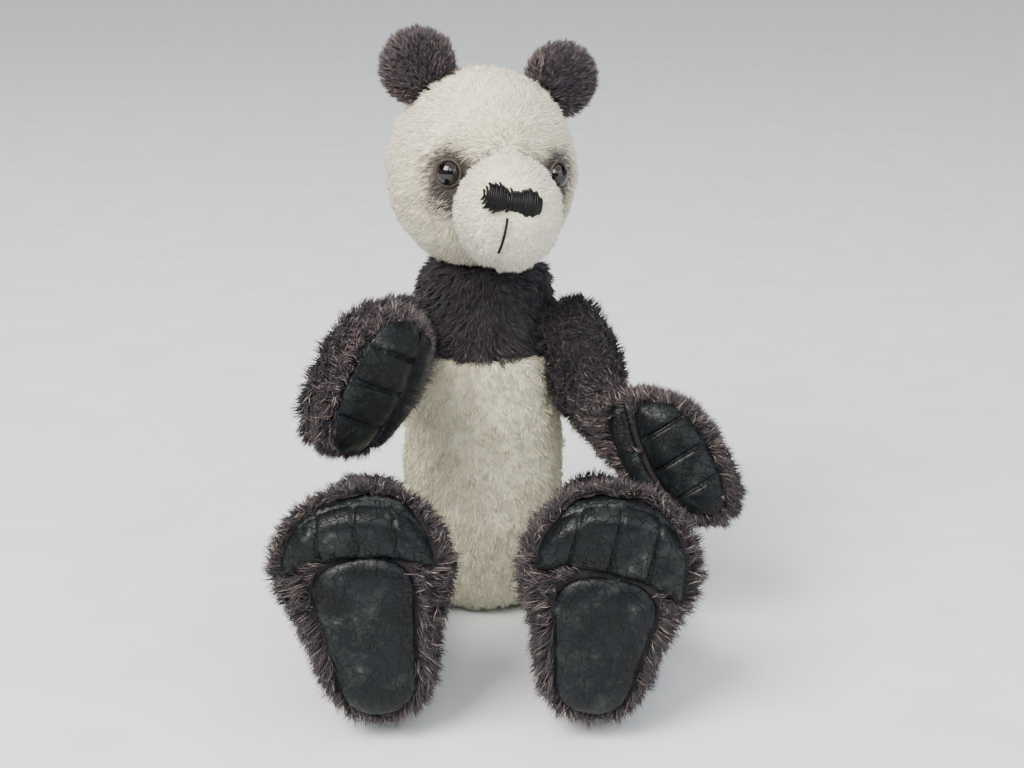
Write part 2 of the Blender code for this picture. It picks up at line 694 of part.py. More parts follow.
def foot_frame(side, sign):
    """The sole's frame: x to the panda's left, y back towards the hip, z up the sole."""
    middle = Vector((sign * FOOT_MIDDLE_X[side], HIP_Y, 0))
    roll = Matrix.Rotation(sign * FOOT_ROLL, 4, "Y")
    lean = Matrix.Rotation(-FOOT_LEAN, 4, "X")
    return Matrix.Translation(middle) @ lean @ roll


def leg_rings(side, sign):
    """Thigh and shank as round rings, then the foot as rings in the shape of the sole."""
    rings = []
    for forward, height, wide, tall, power in LEG_RINGS:
        centre = Vector((sign * LEG_MIDDLE_X, HIP_Y - forward, height))
        rings.append((centre, Vector((wide, 0, 0)), Vector((0, 0, tall)), power))
    frame = foot_frame(side, sign)
    turn = frame.to_3x3()
    half = FOOT_HEIGHT / 2
    for forward, inset in FOOT_STEPS:
        across = turn @ Vector((TOE_RADIUS - inset, 0, 0))
        rise = turn @ Vector((0, 0, half - inset))
        rings.append((frame @ Vector((0, -forward, half)), across, rise, "sole"))
    return rings


def leg_skin(side, sign, point, axis, depth=0.0):
    """The leg's skin, flat at the joint and under the heel."""
    bm = loft(LEG_POINTS, inset_rings(leg_rings(side, sign), depth))
    press_flat(bm, point + axis * (GAP + depth), -axis, THIGH_REACH)
    slice_off(bm, (0, 0, depth), (0, 0, -1))
    return bm


def foot_outlines(side, sign):
    """Outlines in the sole's plane, x across and y up: the toe pad and the sole pad."""
    toe, sole = [], []
    low, high = TOE_PAD_EDGE[side], TOE_PAD_TOP
    for step in range(17):
        angle = math.pi * step / 16
        x = TOE_PAD_HALF * superellipse(math.cos(angle), 2.5)
        floor = low + TOE_PAD_TILT[side] * sign * x
        toe.append((x, floor + (high - floor) * math.sin(angle) ** 0.7))
    for step in range(1, 10):
        angle = math.pi * step / 10
        x = -(TOE_PAD_HALF - 0.9) * math.cos(angle)
        drop = TOE_PAD_DROP * (1 - abs(2 * step / 10 - 1) ** 6)
        toe.append((x, low + TOE_PAD_TILT[side] * sign * x - drop + TOE_PAD_ARCH * math.sin(angle)))
    shoulder = SOLE_PAD_SHOULDER[side]
    for step in range(13):
        angle = math.pi * step / 12
        x = SOLE_PAD_HALF * superellipse(math.cos(angle), 2.4)
        sole.append((x, shoulder + 5.0 * math.sin(angle)))
    for step in range(11):
        angle = math.pi * step / 10
        x = -HEEL_PAD_HALF * superellipse(math.cos(angle), 2.3)
        sole.append((x, HEEL_PAD_Z - 6.0 * math.sin(angle)))
    return {"toe_pad": toe, "sole_pad": sole}


def build_leg(side, sign, point, axis, empty):
    build_limb(f"leg_{side}", lambda depth: leg_skin(side, sign, point, axis, depth), point, axis,
               DISC_RADIUS["hip"], FILLING_DEPTH, empty)
    frame = foot_frame(side, sign)
    turn = frame.to_3x3()
    across, up, out = turn @ Vector((1, 0, 0)), turn @ Vector((0, 0, 1)), turn @ Vector((0, -1, 0))
    base = frame @ Vector((0, -(FOOT_STEPS[-1][0] + GAP), 0))
    for name, outline in foot_outlines(side, sign).items():
        pad = plate_pad(outline, base, across, up, out)
        add_node(f"{name}_{side}", pad, "cracked_leather", empty)


def main():
    clear_scene()
    joints = joint_points()
    root = add_empty("body_centre", (0, 0, 0))
    empties = {name: add_empty(f"{name}_axis", point) for name, (point, _) in joints.items()}
    build_body(joints, root)
    build_head(joints, empties["neck"])
    hardware("neck", "head", *joints["neck"], DISC_RADIUS["neck"], root, empties["neck"])
    for side, sign in SIDES.items():
        shoulder, hip = f"shoulder_{side}", f"hip_{side}"
        build_arm(side, sign, *joints[shoulder], empties[shoulder])
        hardware(shoulder, "arm", *joints[shoulder], DISC_RADIUS["shoulder"], root, empties[shoulder])
        build_leg(side, sign, *joints[hip], empties[hip])
        hardware(hip, "leg", *joints[hip], DISC_RADIUS["hip"], root, empties[hip])


main()
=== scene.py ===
# %% [markdown]
# # A jointed plush panda
# A small panda sewn from pile fabric, with cracked leather pads, glass eyes and a nose of thread.
# The CAD frame gives the size, the place and the joints of every piece. This lesson gives the
# looks: stuffed skins, pile made of real strands, leather, thread and glass.

import json
import math

import bmesh
import bpy
import numpy as np
from mathutils import Matrix, Vector
from mathutils.bvhtree import BVHTree
from mathutils.kdtree import KDTree

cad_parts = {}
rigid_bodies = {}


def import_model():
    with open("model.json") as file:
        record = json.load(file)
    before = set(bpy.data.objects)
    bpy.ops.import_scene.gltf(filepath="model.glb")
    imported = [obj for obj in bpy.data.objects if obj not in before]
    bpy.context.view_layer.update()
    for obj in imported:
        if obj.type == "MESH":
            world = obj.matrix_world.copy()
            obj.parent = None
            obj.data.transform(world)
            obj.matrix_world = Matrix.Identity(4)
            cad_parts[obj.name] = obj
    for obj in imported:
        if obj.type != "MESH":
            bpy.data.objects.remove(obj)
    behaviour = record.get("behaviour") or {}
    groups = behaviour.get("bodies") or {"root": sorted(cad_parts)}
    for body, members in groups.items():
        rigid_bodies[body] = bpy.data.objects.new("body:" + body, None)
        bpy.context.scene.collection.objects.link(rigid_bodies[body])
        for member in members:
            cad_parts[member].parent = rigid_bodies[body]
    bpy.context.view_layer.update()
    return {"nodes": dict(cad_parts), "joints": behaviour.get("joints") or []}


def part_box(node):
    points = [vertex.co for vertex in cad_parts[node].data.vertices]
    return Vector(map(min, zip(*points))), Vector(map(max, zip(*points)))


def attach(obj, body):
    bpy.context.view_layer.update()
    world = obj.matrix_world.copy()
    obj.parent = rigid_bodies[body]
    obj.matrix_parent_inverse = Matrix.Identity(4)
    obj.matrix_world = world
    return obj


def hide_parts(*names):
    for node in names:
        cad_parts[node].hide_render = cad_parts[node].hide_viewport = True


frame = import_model()

# %% [markdown]
# ## Sizes and the way the head looks
# The real toy sits about 11 cm high with its ears. Lengths here are in millimetres and turn into
# metres through MM. The head is turned and tipped on its neck, so it gets its own frame, and the
# eyes, the nose and the muzzle are placed in that frame. The other way is to turn each piece by
# itself, but then they wouldn't keep together when a value changes.

# %% Sizes
MM = 0.001
SIDES = {"left": 1, "right": -1}
HEAD_MIDDLE = Vector((0.2, -2.0, 88.4)) * MM
HEAD_RADIUS = 18.5 * MM
HEAD_YAW = math.radians(16)
HEAD_ROLL = math.radians(4)
HEAD_FRAME = (Matrix.Translation(HEAD_MIDDLE) @ Matrix.Rotation(HEAD_YAW, 4, "Z")
              @ Matrix.Rotation(HEAD_ROLL, 4, "Y"))
HEAD_TURN = np.array(HEAD_FRAME.to_3x3())
JOINTS = {joint["name"]: joint for joint in frame["joints"]}
print("Joints:", ", ".join(JOINTS))

# %% [markdown]
# ## Materials
# A material in Blender is a tree of nodes that ends in a surface. One small function adds a node
# with its settings, its inputs and its colour stops, and one turns a hex colour into linear
# light. Patterns read Object coordinates in metres, so a scale of n / MM gives n cells per
# millimetre. Generated coordinates would stretch with each piece, and these don't.

# %% Material helpers


def tone(text):
    """A hex sRGB colour as linear red, green, blue and alpha."""
    parts = [int(text[start:start + 2], 16) / 255 for start in (0, 2, 4)]
    linear = [part / 12.92 if part <= 0.04045 else ((part + 0.055) / 1.055) ** 2.4 for part in parts]
    return (*linear, 1.0)


def add(tree, kind, inputs=(), stops=(), **settings):
    """Add a node. Inputs are (socket, value or output socket) and stops (place, hex colour)."""
    node = tree.nodes.new(kind)
    for name, value in settings.items():
        setattr(node, name, value)
    for name, value in inputs:
        if isinstance(value, bpy.types.NodeSocket):
            tree.links.new(value, node.inputs[name])
        else:
            node.inputs[name].default_value = value
    if stops:
        while len(node.color_ramp.elements) < len(stops):
            node.color_ramp.elements.new(0.5)
        for element, (place, colour) in zip(node.color_ramp.elements, stops):
            element.position = place
            element.color = tone(colour)
    return node


def start_material(name, roughness, metallic=0.0):
    """A new material with its tree, its surface node and the Object coordinates."""
    material = bpy.data.materials.new(name)
    material.use_nodes = True
    tree = material.node_tree
    surface = tree.nodes["Principled BSDF"]
    surface.inputs["Roughness"].default_value = roughness
    surface.inputs["Metallic"].default_value = metallic
    place = add(tree, "ShaderNodeTexCoord").outputs["Object"]
    return material, tree, surface, place


print("Helpers for materials ready")

# %% [markdown]
# ### The backing of the pile
# Mohair cloth has its pile woven or knitted into a backing. Between the strands the eye sees that
# backing as a dull, mottled ground. It could be left plain, but where the pile is short, as round
# the eyes, the ground shows, so it is mottled and airbrushed grey-brown there. Tufts are about
# 1.1 mm in the colour and 0.4 mm in the bumps.

# %% Backing of the pile


def backing(name, stops, greyed=()):
    """Knitted backing, matted and dull. The greyed spots are (place, reach in mm) pairs."""
    material, tree, surface, place = start_material(name, 0.95)
    tufts = add(tree, "ShaderNodeTexNoise", [("Vector", place), ("Scale", 0.9 / MM), ("Detail", 5.0),
                                             ("Roughness", 0.7)])
    colour = add(tree, "ShaderNodeValToRGB", [("Fac", tufts.outputs["Fac"])], stops).outputs["Color"]
    for spot, reach in greyed:
        away = add(tree, "ShaderNodeVectorMath", [(0, place), (1, tuple(spot))], operation="DISTANCE")
        near = add(tree, "ShaderNodeMapRange",
                   [("Value", away.outputs["Value"]), ("From Min", 0.45 * reach * MM),
                    ("From Max", reach * MM)], interpolation_type="SMOOTHSTEP")
        colour = add(tree, "ShaderNodeMix", [("Factor", near.outputs["Result"]), (6, tone("3A332F")),
                                             (7, colour)], data_type="RGBA").outputs[2]
    tree.links.new(colour, surface.inputs["Base Color"])
    fibres = add(tree, "ShaderNodeTexNoise", [("Vector", place), ("Scale", 2.4 / MM), ("Detail", 4.0),
                                              ("Roughness", 0.6)])
    bumps = add(tree, "ShaderNodeBump", [("Height", fibres.outputs["Fac"]), ("Strength", 0.8),
                                         ("Distance", 0.25 * MM)])
    tree.links.new(bumps.outputs["Normal"], surface.inputs["Normal"])
    return material


CREAM_STOPS = ((0.3, "B9B29A"), (0.55, "D8D2BC"), (0.8, "EEEADB"))
CREAM_BACK = backing("cream_mohair_knitted_backing", CREAM_STOPS)
DARK_BACK = backing("dark_mohair_knitted_backing",
                    ((0.3, "0B090D"), (0.55, "1B151B"), (0.8, "30262A")))
print("Two backings made")

# %% [markdown]
# ### The strands of the pile
# Mohair is a smooth fibre with a soft shine. Cut pile looks dark at the root, where light is
# lost, and lighter at the tip, and strands differ. So each strand carries a small map of its own:
# sideways it is the shade of the strand, upwards it goes from the root to the tip. A noise would
# cut across strands, and a map stays with them. Dark pile is blackish with reddish and tan tips,
# cream pile runs from airbrushed grey to near white, and the belly's is a little greener.

# %% Strands of the pile
MAP = "OFBake"
TIP_V = 0.5


def strands_of(name, roots, tips):
    """Mohair strands: one ramp of shades for the roots and one for the tips."""
    material, tree, surface, _ = start_material(name, 0.62)
    split = add(tree, "ShaderNodeSeparateXYZ",
                [("Vector", add(tree, "ShaderNodeUVMap", uv_map=MAP).outputs["UV"])])
    up = add(tree, "ShaderNodeMapRange", [("Value", split.outputs["Y"]), ("From Max", TIP_V)])
    root, tip = (add(tree, "ShaderNodeValToRGB", [("Fac", split.outputs["X"])], stops).outputs["Color"]
                 for stops in (roots, tips))
    colour = add(tree, "ShaderNodeMix", [("Factor", up.outputs["Result"]), (6, root), (7, tip)],
                 data_type="RGBA")
    tree.links.new(colour.outputs[2], surface.inputs["Base Color"])
    surface.inputs["Sheen Weight"].default_value = 0.15
    surface.inputs["Specular IOR Level"].default_value = 0.35
    return material


DARK_PILE = strands_of(
    "dark_mohair_cut_pile",
    ((0.0, "08070B"), (0.5, "110E12"), (1.0, "1E1819")),
    ((0.0, "12111F"), (0.3, "201A27"), (0.55, "4A3B3F"), (0.75, "86706A"), (1.0, "CDBBAA")))
CREAM_PILE = strands_of(
    "cream_mohair_cut_pile",
    ((0.0, "241F1E"), (0.3, "6A6259"), (0.6, "D3C8A8"), (1.0, "F0EAD2")),
    ((0.0, "2E2927"), (0.3, "7C736B"), (0.55, "DCD4BF"), (0.75, "F3ECD3"), (1.0, "FEFCF2")))
BELLY_PILE = strands_of(
    "greenish_cream_mohair_cut_pile",
    ((0.0, "6B6750"), (0.4, "B3AC8A"), (1.0, "DFD9B9")),
    ((0.0, "6D6957"), (0.25, "B4AF96"), (0.6, "EAE5CB"), (1.0, "FDFBEC")))
print("Three kinds of strands made")

# %% [markdown]
# ### Cracked leather
# The pads are leather with a coat of dark paint that dried out, given a faint blue cast that is
# painted reflection. The eye sees a net of fine cracks round plates of 1 to 2 mm, patches where
# the net is finer, and grey-green patches, partly bloom where the leather is rubbed and partly
# painted sheen. Cracks are edges of Voronoi cells, because those meet in threes as real cracks do,
# and a noise bends them so that they don't run straight. Real cracks are about 0.05 mm wide, and
# here they are a little wider to show.

# %% Cracked leather


def cracked_leather():
    """Painted leather, aged until the paint cracked: dark, half matt, with sunken lines."""
    material, tree, surface, place = start_material("aged_leather_cracked_paint", 0.45)
    wander = add(tree, "ShaderNodeTexNoise", [("Vector", place), ("Scale", 0.45 / MM), ("Detail", 3.0)])
    shift = add(tree, "ShaderNodeVectorMath", [(0, wander.outputs["Color"]), (1, (1.1 * MM,) * 3)],
                operation="MULTIPLY")
    bent = add(tree, "ShaderNodeVectorMath", [(0, place), (1, shift.outputs[0])], operation="ADD")
    nets = []
    for size, width in ((2.0, 0.028), (0.95, 0.04)):
        cell = add(tree, "ShaderNodeTexVoronoi", [("Vector", bent.outputs[0]), ("Scale", 1 / (size * MM))],
                   feature="DISTANCE_TO_EDGE")
        line = add(tree, "ShaderNodeMapRange", [("Value", cell.outputs["Distance"]),
                                                ("From Max", width)], interpolation_type="SMOOTHSTEP")
        nets.append(line.outputs["Result"])
    dry = add(tree, "ShaderNodeTexNoise", [("Vector", place), ("Scale", 0.16 / MM), ("Detail", 2.0),
                                           ("Roughness", 0.6)])
    patch = add(tree, "ShaderNodeMapRange", [("Value", dry.outputs["Fac"]),
                                             ("From Min", 0.42), ("From Max", 0.56)])
    fine = add(tree, "ShaderNodeMath", [(0, nets[1]), (1, patch.outputs["Result"])], operation="MAXIMUM")
    net = add(tree, "ShaderNodeMath", [(0, nets[0]), (1, fine.outputs[0])], operation="MINIMUM")
    # Grey-green patches: partly bloom on rubbed leather, partly painted sheen. The faint blue in the dark
    # stops is painted reflection.
    bloom_and_sheen_noise = add(tree, "ShaderNodeTexNoise", [("Vector", place), ("Scale", 0.22 / MM), ("Detail", 4.0),
                                              ("Roughness", 0.65)])
    bloom_and_sheen = add(tree, "ShaderNodeValToRGB", [("Fac", bloom_and_sheen_noise.outputs["Fac"])],
                ((0.34, "06080A"), (0.52, "0B0F12"), (0.64, "1D2322"), (0.8, "51574D")))
    colour = add(tree, "ShaderNodeMix", [("Factor", net.outputs[0]), (6, tone("060708")),
                                         (7, bloom_and_sheen.outputs["Color"])], data_type="RGBA")
    tree.links.new(colour.outputs[2], surface.inputs["Base Color"])
    wear = add(tree, "ShaderNodeTexNoise", [("Vector", place), ("Scale", 1.3 / MM), ("Detail", 4.0),
                                            ("Roughness", 0.6)])
    rough = add(tree, "ShaderNodeMapRange", [("Value", wear.outputs["Fac"]),
                                             ("To Min", 0.22), ("To Max", 0.52)])
    tree.links.new(rough.outputs["Result"], surface.inputs["Roughness"])
    pores = add(tree, "ShaderNodeTexNoise", [("Vector", place), ("Scale", 3.0 / MM), ("Detail", 3.0),
                                             ("Roughness", 0.6)])
    grain = add(tree, "ShaderNodeMath", [(0, pores.outputs["Fac"]), (1, 0.25)], operation="MULTIPLY")
    height = add(tree, "ShaderNodeMath", [(0, net.outputs[0]), (1, grain.outputs[0])], operation="ADD")
    bumps = add(tree, "ShaderNodeBump", [("Height", height.outputs[0]), ("Strength", 0.9),
                                         ("Distance", 0.22 * MM)])
    tree.links.new(bumps.outputs["Normal"], surface.inputs["Normal"])
    surface.inputs["Specular IOR Level"].default_value = 0.2
    return material


LEATHER = cracked_leather()
print("Leather made")

# %% [markdown]
# ### Thread, glass and the hidden materials
# The plain materials share one recipe: a mottle, a gloss that wanders with it, and fine bumps.
# Pearl cotton is twisted, so it is black with a low gloss. Blown glass is smooth and mirrors the
# lamps. Felt is dull. Inside are pressed board discs, steel washers and pins, fibre filling and
# a cotton pouch. Bare metal keeps the default IOR, and only its gloss and its grey differ.

# %% Thread, glass and hidden materials


def mottled(name, roughness, stops, scale, depth, metallic=0.0, gloss=0.5):
    """A plain finish. The scale is in cells per millimetre and the depth in millimetres."""
    material, tree, surface, place = start_material(name, roughness, metallic)
    surface.inputs["Specular IOR Level"].default_value = gloss
    spots, fine = (add(tree, "ShaderNodeTexNoise", [("Vector", place), ("Scale", cells / MM),
                                                    ("Detail", detail), ("Roughness", 0.6)])
                   for cells, detail in ((scale, 4.0), (scale * 2.5, 3.0)))
    colour = add(tree, "ShaderNodeValToRGB", [("Fac", spots.outputs["Fac"])], stops)
    tree.links.new(colour.outputs["Color"], surface.inputs["Base Color"])
    rough = add(tree, "ShaderNodeMapRange", [("Value", spots.outputs["Fac"]), ("To Min", roughness * 0.8),
                                             ("To Max", min(1.0, roughness * 1.25))])
    tree.links.new(rough.outputs["Result"], surface.inputs["Roughness"])
    bumps = add(tree, "ShaderNodeBump", [("Height", fine.outputs["Fac"]), ("Strength", 0.6),
                                         ("Distance", depth * MM)])
    tree.links.new(bumps.outputs["Normal"], surface.inputs["Normal"])
    return material


THREAD = mottled("black_pearl_cotton_twisted", 0.42, ((0.3, "010102"), (0.7, "060607")), 3.0, 0.08,
                 gloss=0.25)
GLASS = mottled("black_blown_glass", 0.06, ((0.3, "060505"), (0.7, "17110E")), 0.5, 0.0)
IRIS_FELT = mottled("brown_eye_felt", 0.85, ((0.3, "241D1B"), (0.7, "4A3D37")), 1.5, 0.08)
HIDDEN = {
    "disc": mottled("pressed_fibreboard", 0.85, ((0.3, "5A3C22"), (0.7, "86623C")), 1.2, 0.05),
    "washer": mottled("stamped_steel", 0.35, ((0.3, "8A8A88"), (0.7, "B4B4B0")), 1.5, 0.01, 1.0),
    "pin": mottled("drawn_steel_wire", 0.3, ((0.3, "8A8A88"), (0.7, "B4B4B0")), 2.0, 0.01, 1.0),
    "loop": mottled("annealed_steel_wire", 0.4, ((0.3, "6E6E6C"), (0.7, "9A9A96")), 2.0, 0.01, 1.0),
    "filling": mottled("polyester_fibre_filling", 1.0, ((0.3, "DADAD6"), (0.7, "F2F2EE")), 0.8, 0.3),
    "pouch": mottled("woven_cotton_pellet_pouch", 0.9, ((0.3, "B5AC9A"), (0.7, "D2CABA")), 2.2, 0.08),
}
for name, thing in frame["nodes"].items():
    for word, material in [*HIDDEN.items(), ("mouth_stitch", THREAD)]:
        if word in name:
            thing.data.materials.clear()
            thing.data.materials.append(material)
print("Thread, glass, felt and", len(HIDDEN), "hidden materials made")

# %% [markdown]
# ## Stuffed skins
# The body, the head and the limbs are sewn from flat pieces and stuffed hard. Their CAD shells
# are hollow and faceted. A skin could be modelled anew, but the shell already has the right size
# and place, so each skin starts as the outer surface of its shell: the walls of the pin hole and
# of the eye holes are taken away, the largest part is kept, and its openings are closed.

# %% Outer surface of a shell


def merged(name):
    """A CAD node's mesh with its triangles joined."""
    bm = bmesh.new()
    bm.from_mesh(frame["nodes"][name].data)
    bmesh.ops.remove_doubles(bm, verts=bm.verts, dist=0.01 * MM)
    return bm


def outer_part(bm, holes, rim=None):
    """Keep the outer surface of a hollow shell and close its openings."""
    def in_hole(face):
        for point, axis, reach in holes:
            offsets = [vert.co - point for vert in face.verts]
            if all(abs(off.dot(axis)) < 6 * MM and (off - axis * off.dot(axis)).length < reach
                   for off in offsets):
                return True
        return rim is not None and abs(face.normal.z) > 0.99 and abs(face.verts[0].co.z - rim) < 0.3 * MM

    bmesh.ops.delete(bm, geom=[face for face in bm.faces if in_hole(face)], context="FACES")
    left, parts = set(bm.verts), []
    while left:
        part, edge = set(), [left.pop()]
        while edge:
            vert = edge.pop()
            part.add(vert)
            for link in vert.link_edges:
                other = link.other_vert(vert)
                if other in left:
                    left.discard(other)
                    edge.append(other)
        parts.append(part)
    keep = max(parts, key=lambda part: max(v.co.z for v in part) - min(v.co.z for v in part)
               + max(v.co.x for v in part) - min(v.co.x for v in part))
    bmesh.ops.delete(bm, geom=[vert for vert in bm.verts if vert not in keep], context="VERTS")
    bmesh.ops.holes_fill(bm, edges=[edge for edge in bm.edges if edge.is_boundary], sides=0)
    bmesh.ops.recalc_face_normals(bm, faces=bm.faces)
    return bm


# %% [markdown]
# A mesh made in code needs an object, a link to the scene and a material before it is a piece.

# %% Pieces


def new_piece(name, mesh, material):
    """An object in the scene for a mesh, with one material."""
    mesh.materials.append(material)
    thing = bpy.data.objects.new(name, mesh)
    bpy.context.scene.collection.objects.link(thing)
    return thing


def add_piece(name, bm, material):
    """A new piece from a bmesh, which is freed."""
    mesh = bpy.data.meshes.new(name)
    bm.to_mesh(mesh)
    bm.free()
    return new_piece(name, mesh, material)


def smooth(thing):
    """Shade every face smooth."""
    thing.data.polygons.foreach_set("use_smooth", [True] * len(thing.data.polygons))
    return thing


def points_of(mesh):
    """The vertices of a mesh as rows."""
    found = np.empty(len(mesh.vertices) * 3)
    mesh.vertices.foreach_get("co", found)
    return found.reshape(-1, 3)


# %% [markdown]
# A voxel remesh turns the long thin facets into even cloth. Then a short cloth simulation without
# gravity presses from inside, as filling does, which rounds the surface in a way that a smooth
# modifier, which shrinks it, doesn't. The move is capped so that the skin stays with its frame.

# %% Cloth tools
VOXEL = 1.05
STUFFING_CAP = 0.6
STUFFING_FRAMES = 18


def apply_modifiers(thing):
    """Put what the modifiers make into the mesh itself."""
    shape = thing.evaluated_get(bpy.context.evaluated_depsgraph_get())
    mesh = bpy.data.meshes.new_from_object(shape)
    mesh.name = thing.name
    thing.modifiers.clear()
    thing.data = mesh
    smooth(thing)


def even_cloth(thing, voxel, rounds):
    """Remesh a piece with voxels of a size in millimetres and relax it."""
    remesh = thing.modifiers.new("even", "REMESH")
    remesh.mode = "VOXEL"
    remesh.voxel_size = voxel * MM
    relax = thing.modifiers.new("relax", "SMOOTH")
    relax.factor = 0.5
    relax.iterations = rounds
    apply_modifiers(thing)


def stuff(thing, held):
    """Fill the cloth: pressure from inside, with the seams and the joints held, then cap the move."""
    before = points_of(thing.data)
    group = thing.vertex_groups.new(name="held")
    group.add([int(index) for index in np.flatnonzero(held)], 1.0, "REPLACE")
    cloth = thing.modifiers.new("stuffing", "CLOTH")
    settings = {"use_pressure": True, "uniform_pressure_force": 4.0, "vertex_group_mass": group.name,
                "mass": 0.05, "tension_stiffness": 12.0, "compression_stiffness": 12.0,
                "bending_stiffness": 0.3}
    for name, value in settings.items():
        setattr(cloth.settings, name, value)
    cloth.settings.effector_weights.gravity = 0.0
    cloth.point_cache.frame_start = 1
    cloth.point_cache.frame_end = STUFFING_FRAMES
    for number in range(1, STUFFING_FRAMES + 1):
        bpy.context.scene.frame_set(number)
    apply_modifiers(thing)
    bpy.context.scene.frame_set(1)
    after = points_of(thing.data)
    move = after - before
    length = np.linalg.norm(move, axis=1, keepdims=True)
    moved = before + move * np.minimum(1.0, STUFFING_CAP * MM / np.maximum(length, 1e-9))
    thing.data.vertices.foreach_set("co", moved.ravel())
    thing.vertex_groups.clear()
    thing.data.update()
    print("  ", thing.name, "stuffed, largest move", round(float(length.max()) / MM, 2), "mm")


# %% [markdown]
# Distances to other pieces say which cloth is held and, later, where pile may grow. A search tree
# finds the nearest point quickly.

# %% Distances


def tree_of(*things):
    """A search tree over the meshes of some objects."""
    verts, faces = [], []
    for thing in things:
        start = len(verts)
        verts += [vert.co.copy() for vert in thing.data.vertices]
        faces += [[start + index for index in face.vertices] for face in thing.data.polygons]
    return BVHTree.FromPolygons(verts, faces)


def distances(points, tree, reach):
    """How far each point is from a surface, up to a reach."""
    found = np.full(len(points), reach)
    for number, point in enumerate(points):
        near = tree.find_nearest(Vector(point), reach)
        if near[0] is not None:
            found[number] = near[3]
    return found


def joint_hole(name):
    """A pin hole: its middle, its axis and a little more than its radius."""
    joint = JOINTS[name]
    return Vector(joint["pos_m"]), Vector(joint["axis"]).normalized(), 1.45 * MM


# %% [markdown]
# Every skin is made, stuffed and registered in the same way. Near a joint and under the leather
# the cloth is sewn down, so there it is held.

# %% Skins
PADS = {"arm": ("palm_pad", "finger_pad"), "leg": ("sole_pad", "toe_pad")}
SKINS = {}
SKIN_BODY = {}


def finish_skin(thing, body, nodes):
    """Attach a skin to what it rides on, hide the CAD nodes it stands in for, and keep it by name."""
    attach(thing, body)
    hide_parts(*nodes)
    SKINS[thing.name] = thing
    SKIN_BODY[thing.name] = body


def skin(name, node, holes, body, material, rim=None, held_near=()):
    """Make a stuffed skin from a CAD shell. Cloth near its joints and its leather is held."""
    thing = add_piece(name, outer_part(merged(node), holes, rim), material)
    even_cloth(thing, VOXEL, 4)
    points = points_of(thing.data)
    held = np.zeros(len(points), bool)
    for point, axis, _ in holes:
        off = points - np.array(point)
        along = off @ np.array(axis)
        held |= (np.abs(along) < 1.2 * MM) & (np.linalg.norm(off, axis=1) < 12 * MM)
    if held_near:
        plates = tree_of(*[frame["nodes"][near] for near in held_near])
        held |= distances(points, plates, 2 * MM) < 1.2 * MM
    stuff(thing, held)
    finish_skin(thing, body, [node])
    return thing


# %% [markdown]
# The head is a stuffed ball, a little taller than it is wide and full at the cheeks. It is
# airbrushed grey-brown round each eye and in a streak below it. The shape could come from the
# pattern pieces, but it is simpler to stretch the skin after the remesh.

# %% Head skin
# Against the CAD ball: narrower, fuller at the cheeks and taller.
HEAD_NARROWING = 0.955
CHEEK_FULLNESS = 0.03
HEAD_STRETCH = 1.03


def eye_axis(side):
    """The way an eye looks out from the middle of the head."""
    low, high = (Vector(corner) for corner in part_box(f"eye_{side}"))
    return ((low + high) / 2 - HEAD_MIDDLE).normalized()


def eye_hole(side):
    """The hole of an eye's loop, as a middle, an axis and a reach."""
    out = eye_axis(side)
    return HEAD_MIDDLE + out * HEAD_RADIUS, out, 1.6 * MM


smudges = []
for side, sign in SIDES.items():
    eye = HEAD_MIDDLE + eye_axis(side) * HEAD_RADIUS
    streak = HEAD_FRAME.to_3x3() @ Vector((sign * 0.6, 0.5, -5.0)) * MM
    smudges += [(eye, 6.4), (eye + streak, 5.4)]
HEAD_BACK = backing("airbrushed_mohair_knitted_backing", CREAM_STOPS, smudges)
head = skin("head_skin", "head_shell", [joint_hole("neck"), eye_hole("left"), eye_hole("right")],
            "head", HEAD_BACK)
points = points_of(head.data)
local = (points - np.array(HEAD_MIDDLE)) @ HEAD_TURN
high = np.clip(local[:, 2] / HEAD_RADIUS, -1, 1)
local[:, 0] *= np.where(high > 0, HEAD_NARROWING, HEAD_NARROWING + CHEEK_FULLNESS * -high)
local[:, 2] *= np.where(high > 0, HEAD_STRETCH, 1.0)
head.data.vertices.foreach_set("co", (local @ HEAD_TURN.T + np.array(HEAD_MIDDLE)).ravel())

print("Head skin", len(head.data.polygons), "faces")

# %% [markdown]
# The body is sewn from two cloths, a dark yoke over a cream belly, that meet in a level seam.
# The frame has them as two shells, and each becomes a skin with the seam's flat rim left out.

# %% Body skins
YOKE_EDGE_Z = 54.0 * MM
yoke = skin("yoke_skin", "body_yoke",
            [joint_hole(name) for name in ("neck", "shoulder_left", "shoulder_right")],
            "body", DARK_BACK, YOKE_EDGE_Z)
belly = skin("belly_skin", "body_belly", [joint_hole(name) for name in ("hip_left", "hip_right")],
             "body", CREAM_BACK, YOKE_EDGE_Z)
print("Yoke and belly skins", len(yoke.data.polygons) + len(belly.data.polygons), "faces")

# %% [markdown]
# Limbs are stuffed tubes with a paw or a foot, and the feet spread a little at the toes. The ears
# are flat stuffed discs, only remeshed because they are small.

